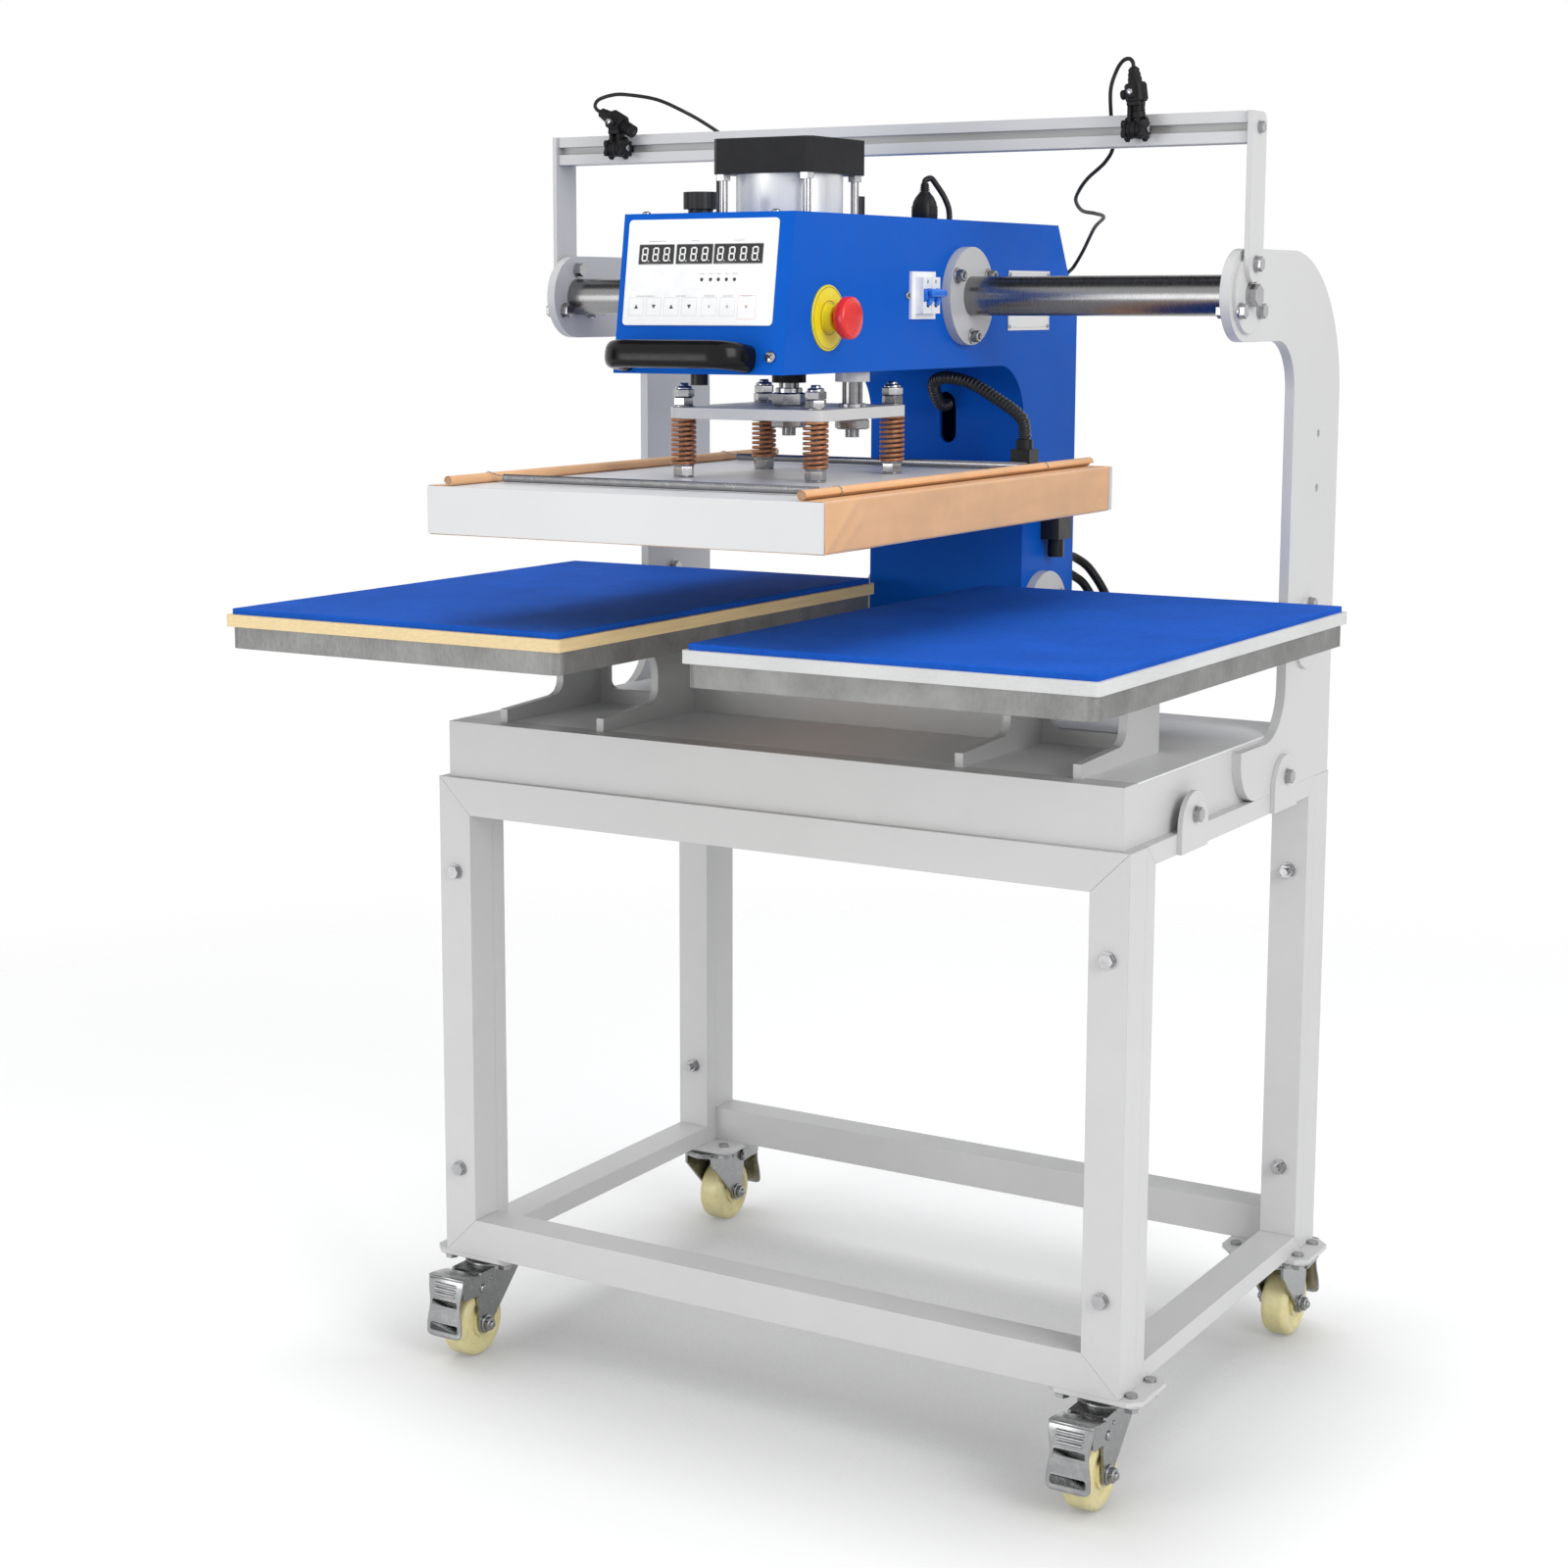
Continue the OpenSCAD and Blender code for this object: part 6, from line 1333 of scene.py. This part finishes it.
class PRESS_OT_casters(bpy.types.Operator):
    """Stamped brake pedals, domed swivel races, washers and pins of the four casters"""
    bl_idname = "press.casters"
    bl_label = "Casters"

    def execute(self, context):
        for end, sy in (("front", -1), ("rear", 1)):
            for side, sx in (("left", -1), ("right", 1)):
                spot = (sx * CASTER_X, sy * CASTER_Y, sy)
                tag = end + "_" + side
                put("pedal_" + tag, "brake_" + tag, ["caster", "tread"], self.pedal(spot),
                    ["caster_pedal_" + tag], 40)
                put("race_" + tag, "caster_" + tag, ["caster"], self.race(spot), sharp=50)
        return {"FINISHED"}

    def at(self, spot, x, y, z):
        """A point x to the right of the king pin and y outwards from it."""
        return (spot[0] + x, spot[1] + spot[2] * y, z)

    def pedal(self, spot):
        """The stamped pedal: a bent sheet with grip ribs and two cheeks on its pin."""
        m = Mesh()
        # (y, height, half width) along the sheet, from the pin outwards and down.
        line = [(50, 95.6, 22.6), (56, 96.9, 23.3), (66, 98.3, 23.3), (74, 99.4, 23.3), (77.5, 99.6, 23.3),
                (79.6, 98.2, 23.3), (80.6, 95.5, 23.3), (81.4, 90, 23.1), (82.2, 84, 22.2), (83, 77, 20.8),
                (83.7, 70, 20.2), (84.3, 62, 20.8), (84.8, 55, 22.2), (85.2, 48, 23.1), (85.6, 40, 23.3),
                (86.0, 37.6, 22.8), (86.6, 35.6, 21.4), (87.0, 34.3, 18.8), (87.1, 33.8, 16.0)]
        m.skin([[self.at(spot, p, y + d.y * q, z - d.x * q) for p, q in rounded(2 * w, 2.4, 1.1, 3)]
                for (y, z, w), d in zip(line, headings([v[:2] for v in line]))])
        for z, w in ((92, 15), (86.5, 15), (81, 14)):
            y = 81.9 + (92 - z) * 0.11
            m.tube([self.at(spot, a, y + b, z) for a, b in ((-w, 0), (1.5 - w, 1), (w - 1.5, 1), (w, 0))],
                   [0.4, 1.7, 1.7, 0.4], 12)
        m.tube([self.at(spot, x, 80.2, 99.0) for x in (-23.2, -22, 22, 23.2)], [1.2, 2.1, 2.1, 1.2], 16)
        for z, y, w, h in ((70.5, 84.9, 33, 9.5), (44.5, 86.75, 37, 9.0)):
            face = axes(self.at(spot, 0, y, z), (spot[2], 0, 0), (0, -0.06 * spot[2], 1))
            m.plate(rounded(w, h, 2.5, 4), 0.35, face, 1, 0.15)
            m.plate(rounded(w + 2.4, h + 2.4, 3.4, 4), 0.12, face, 0, 0.05)
        cheek = [(41.5, 79), (42.2, 83), (45.5, 90), (50, 95.8), (60, 97.8), (72, 98.9), (78.6, 98.2),
                 (80.6, 93), (81.4, 86), (80.6, 78.5), (76, 75.4), (66, 76), (56, 75.2), (50, 74.2),
                 (44.5, 75)]
        for s in (-1, 1):
            place = axes(self.at(spot, s * 22.0 - 1.2 * spot[2], 0, 0), (0, spot[2], 0), (0, 0, 1))
            m.plate(cheek[::spot[2]], 2.4, place, 0, 0.7)
        return m

    def race(self, spot):
        """The swivel race, the axle's washers and nuts, the pedal's pin, and the plate's washers."""
        m = Mesh()
        m.lathe([(20, 96.8), (27.8, 97.0), (28.5, 97.8), (28.5, 98.9), (27.6, 99.9), (26.0, 100.3),
                 (25.2, 101.0), (24.6, 102.3), (23.4, 103.7), (21.6, 104.7), (20.4, 105.0), (20.2, 105.8),
                 (10, 105.8)], (spot[0], spot[1], 0), sides=56)
        for s in (-1, 1):
            out = (s, 0, 0)
            m.lathe([(4, 0), (9.6, 0), (9.8, 0.4), (9.8, 1.2), (9.4, 1.6), (4, 1.6)],
                    self.at(spot, s * 20.05, AXLE_Y, AXLE_Z), out, 36)
            m.nut(13.4, 5.2, self.at(spot, s * 21.6, AXLE_Y, AXLE_Z), out, 0, 12 * s, 0.05)
            m.lathe([(3.9, 0), (3.9, 3.0), (3.2, 3.8), (0.01, 3.9)], self.at(spot, s * 26.0, AXLE_Y, AXLE_Z),
                    out, 24)
            m.lathe([(4.9, 0), (4.9, 0.9), (4.1, 1.9), (2.4, 2.5), (0.01, 2.6)],
                    self.at(spot, s * 23.2, 46, 81), out, 24)
            m.lathe([(2.4, 0), (2.3, 0.6), (1.6, 1.1), (0.01, 1.3)], self.at(spot, s * 20.0, 26, 86), out, 16)
        for a in (-36, 36):
            for b in (-23, 23):
                m.lathe([(9.0, 0), (9.2, 0.3), (9.2, 1.1), (8.8, 1.4), (5, 1.4)],
                        (spot[0] + a, spot[1] + b, 104.4), sides=28)
        return m


class PRESS_OT_screws(bpy.types.Operator):
    """Socket screws with washers in the bearing flanges of the head"""
    bl_idname = "press.screws"
    bl_label = "Flange screws"

    def execute(self, context):
        m = Mesh()
        for side in (-1, 1):
            for y, z in FLANGES:
                for a in (math.radians(30), math.radians(150), math.radians(270)):
                    self.screw(m, side, y + BOLT_CIRCLE * math.cos(a), z + BOLT_CIRCLE * math.sin(a))
        put("flange_socket_screws", "press_head", ["caster"], m, sharp=50)
        return {"FINISHED"}

    def screw(self, m, side, y, z):
        """A socket screw on its washer, with a knurled rim."""
        x = side * FLANGE_FACE
        m.lathe([(3, 0), (7.9, 0), (8.1, 0.3), (8.1, 1.2), (7.8, 1.5), (3, 1.5)], (x, y, z), (side, 0, 0), 32)
        m.lathe([(5.7, 1.4), (5.9, 1.8), (5.9, 8.0), (5.5, 8.7), (3.6, 8.8), (3.3, 8.5), (3.1, 5.0),
                 (0.01, 4.6)], (x, y, z), (side, 0, 0), 36)
        for t in angles(24):
            rim = [(x + side * w, y + 5.95 * math.cos(t), z + 5.95 * math.sin(t)) for w in (2.4, 7.6)]
            m.tube(rim, 0.28, 6)


class PRESS_OT_studs(bpy.types.Operator):
    """The four threaded studs with their seats and lock nuts, and the ram's two rods with their nuts"""
    bl_idname = "press.studs"
    bl_label = "Studs and nuts"

    def execute(self, context):
        m = Mesh()
        for (x, y), turn in zip(STUDS, (8, 31, 52, 17)):
            z = HEATER_TOP
            m.lathe([(9.9, z + 0.05), (10.2, z + 0.4), (10.2, z + 1.4), (9.8, z + 1.7), (6, z + 1.7)],
                    (x, y, 0), sides=40)
            m.nut(18.4, 9.6, (x, y, z + 1.7), turn=turn, chamfer=0.05)
            self.washer(m, x, y, z + 11.3, 1.7)
            m.lathe(thread(5.0, 967.0, FLOAT_TOP + 2, 1.5, 0.45), (x, y, 0), sides=24)
            z = FLOAT_TOP + 0.1
            self.washer(m, x, y, z, 1.5)
            m.nut(18.4, 8.0, (x, y, z + 1.5), turn=turn + 11, chamfer=0.05)
            m.nut(18.4, 7.8, (x, y, z + 9.7), turn=turn + 37, chamfer=0.05)
            m.lathe([(8.3, z + 17.4), (8.4, z + 18.6), (8.1, z + 19.6), (7.3, z + 20.4), (5.6, z + 20.8),
                     (5.2, z + 20.4), (4.9, z + 20.2), (4.9, z + 22.8), (4.2, z + 23.5), (0.01, z + 23.5)],
                    (x, y, 0), sides=36)
        put("studs_and_nuts", "heater", ["zinc"], m, ["spring_studs"], 50)
        put("ram_rods_turned", "ram", ["rod", "zinc"], self.ram(), ["ram_rods"])
        return {"FINISHED"}

    def washer(self, m, x, y, z, thick):
        m.lathe([(5, z), (10.4, z), (10.6, z + 0.3), (10.6, z + thick - 0.3), (10.2, z + thick),
                 (5, z + thick)], (x, y, 0), sides=40)

    def ram(self):
        """The piston with its rod, and the guide rod beside it, each with its nuts at the floating plate."""
        m = Mesh()
        seat = FLOAT_TOP + 0.15
        for x, top, turn in ((0.0, PISTON_TOP, 55), (GUIDE_ROD_X, GUIDE_ROD_TOP, 31)):
            m.lathe([(9.2, seat), (10, seat + 0.8), (10, top - 0.8), (9.2, top)], (x, RAM_Y, 0), sides=48)
            m.lathe(thread(7.0, FLOAT_LOW - 18.1, seat, 1.5, 0.5), (x, RAM_Y, 0), sides=24, kind=1)
            m.nut(30, 10, (x, RAM_Y, FLOAT_LOW - 10.15), kind=1, turn=turn)
        low = PISTON_TOP - PISTON_THICK
        m.lathe([(10, low), (PISTON_R, low), (PISTON_R, PISTON_TOP), (0.01, PISTON_TOP)], (0, RAM_Y, 0),
                sides=64)
        m.nut(30, 13.2, (0, RAM_Y, seat), kind=1, turn=55)
        for x, r, low, high in ((0, 13.4, seat + 13.2, seat + 17.8), (GUIDE_ROD_X, 13.6, seat, seat + 3.8)):
            m.lathe([(10, low), (r, low), (r, high - 0.6), (r - 0.6, high), (10, high)], (x, RAM_Y, 0),
                    sides=40, kind=1)
        return m


def thread(r, low, high, pitch, deep):
    """The profile of a threaded rod, as closed ridges."""
    out = [(r - deep, low)]
    for k in range(int((high - low) / pitch)):
        z = low + pitch * k
        out += [(r - deep, z + 0.1 * pitch), (r, z + 0.45 * pitch), (r, z + 0.6 * pitch),
                (r - deep, z + 0.95 * pitch)]
    return out


OPERATORS = [PRESS_OT_stage, PRESS_OT_metal, PRESS_OT_cords, PRESS_OT_pads, PRESS_OT_cloth, PRESS_OT_springs,
             PRESS_OT_panel, PRESS_OT_handle, PRESS_OT_stop, PRESS_OT_breaker, PRESS_OT_lights,
             PRESS_OT_casters, PRESS_OT_studs, PRESS_OT_screws]


class PRESS_PT_panel(bpy.types.Panel):
    """Lists the pieces of the heat press"""
    bl_label = "Heat press"
    bl_idname = "PRESS_PT_panel"
    bl_space_type = "VIEW_3D"
    bl_region_type = "UI"
    bl_category = "Heat press"

    def draw(self, context):
        for group in (getattr(context.scene, g) for g in GROUPS):
            for name in type(group).__annotations__:
                self.layout.prop(group, name)
        for op in OPERATORS:
            self.layout.operator(op.bl_idname)


def register():
    for c in (*GROUPS.values(), *OPERATORS, PRESS_PT_panel):
        bpy.utils.register_class(c)
    for name, c in GROUPS.items():
        setattr(bpy.types.Scene, name, bpy.props.PointerProperty(type=c))


def unregister():
    for name in GROUPS:
        delattr(bpy.types.Scene, name)
    for c in reversed((*GROUPS.values(), *OPERATORS, PRESS_PT_panel)):
        bpy.utils.unregister_class(c)


def main():
    register()
    for op in OPERATORS:
        group, name = op.bl_idname.split(".")
        getattr(getattr(bpy.ops, group), name)()


if __name__ == "__main__":
    main()
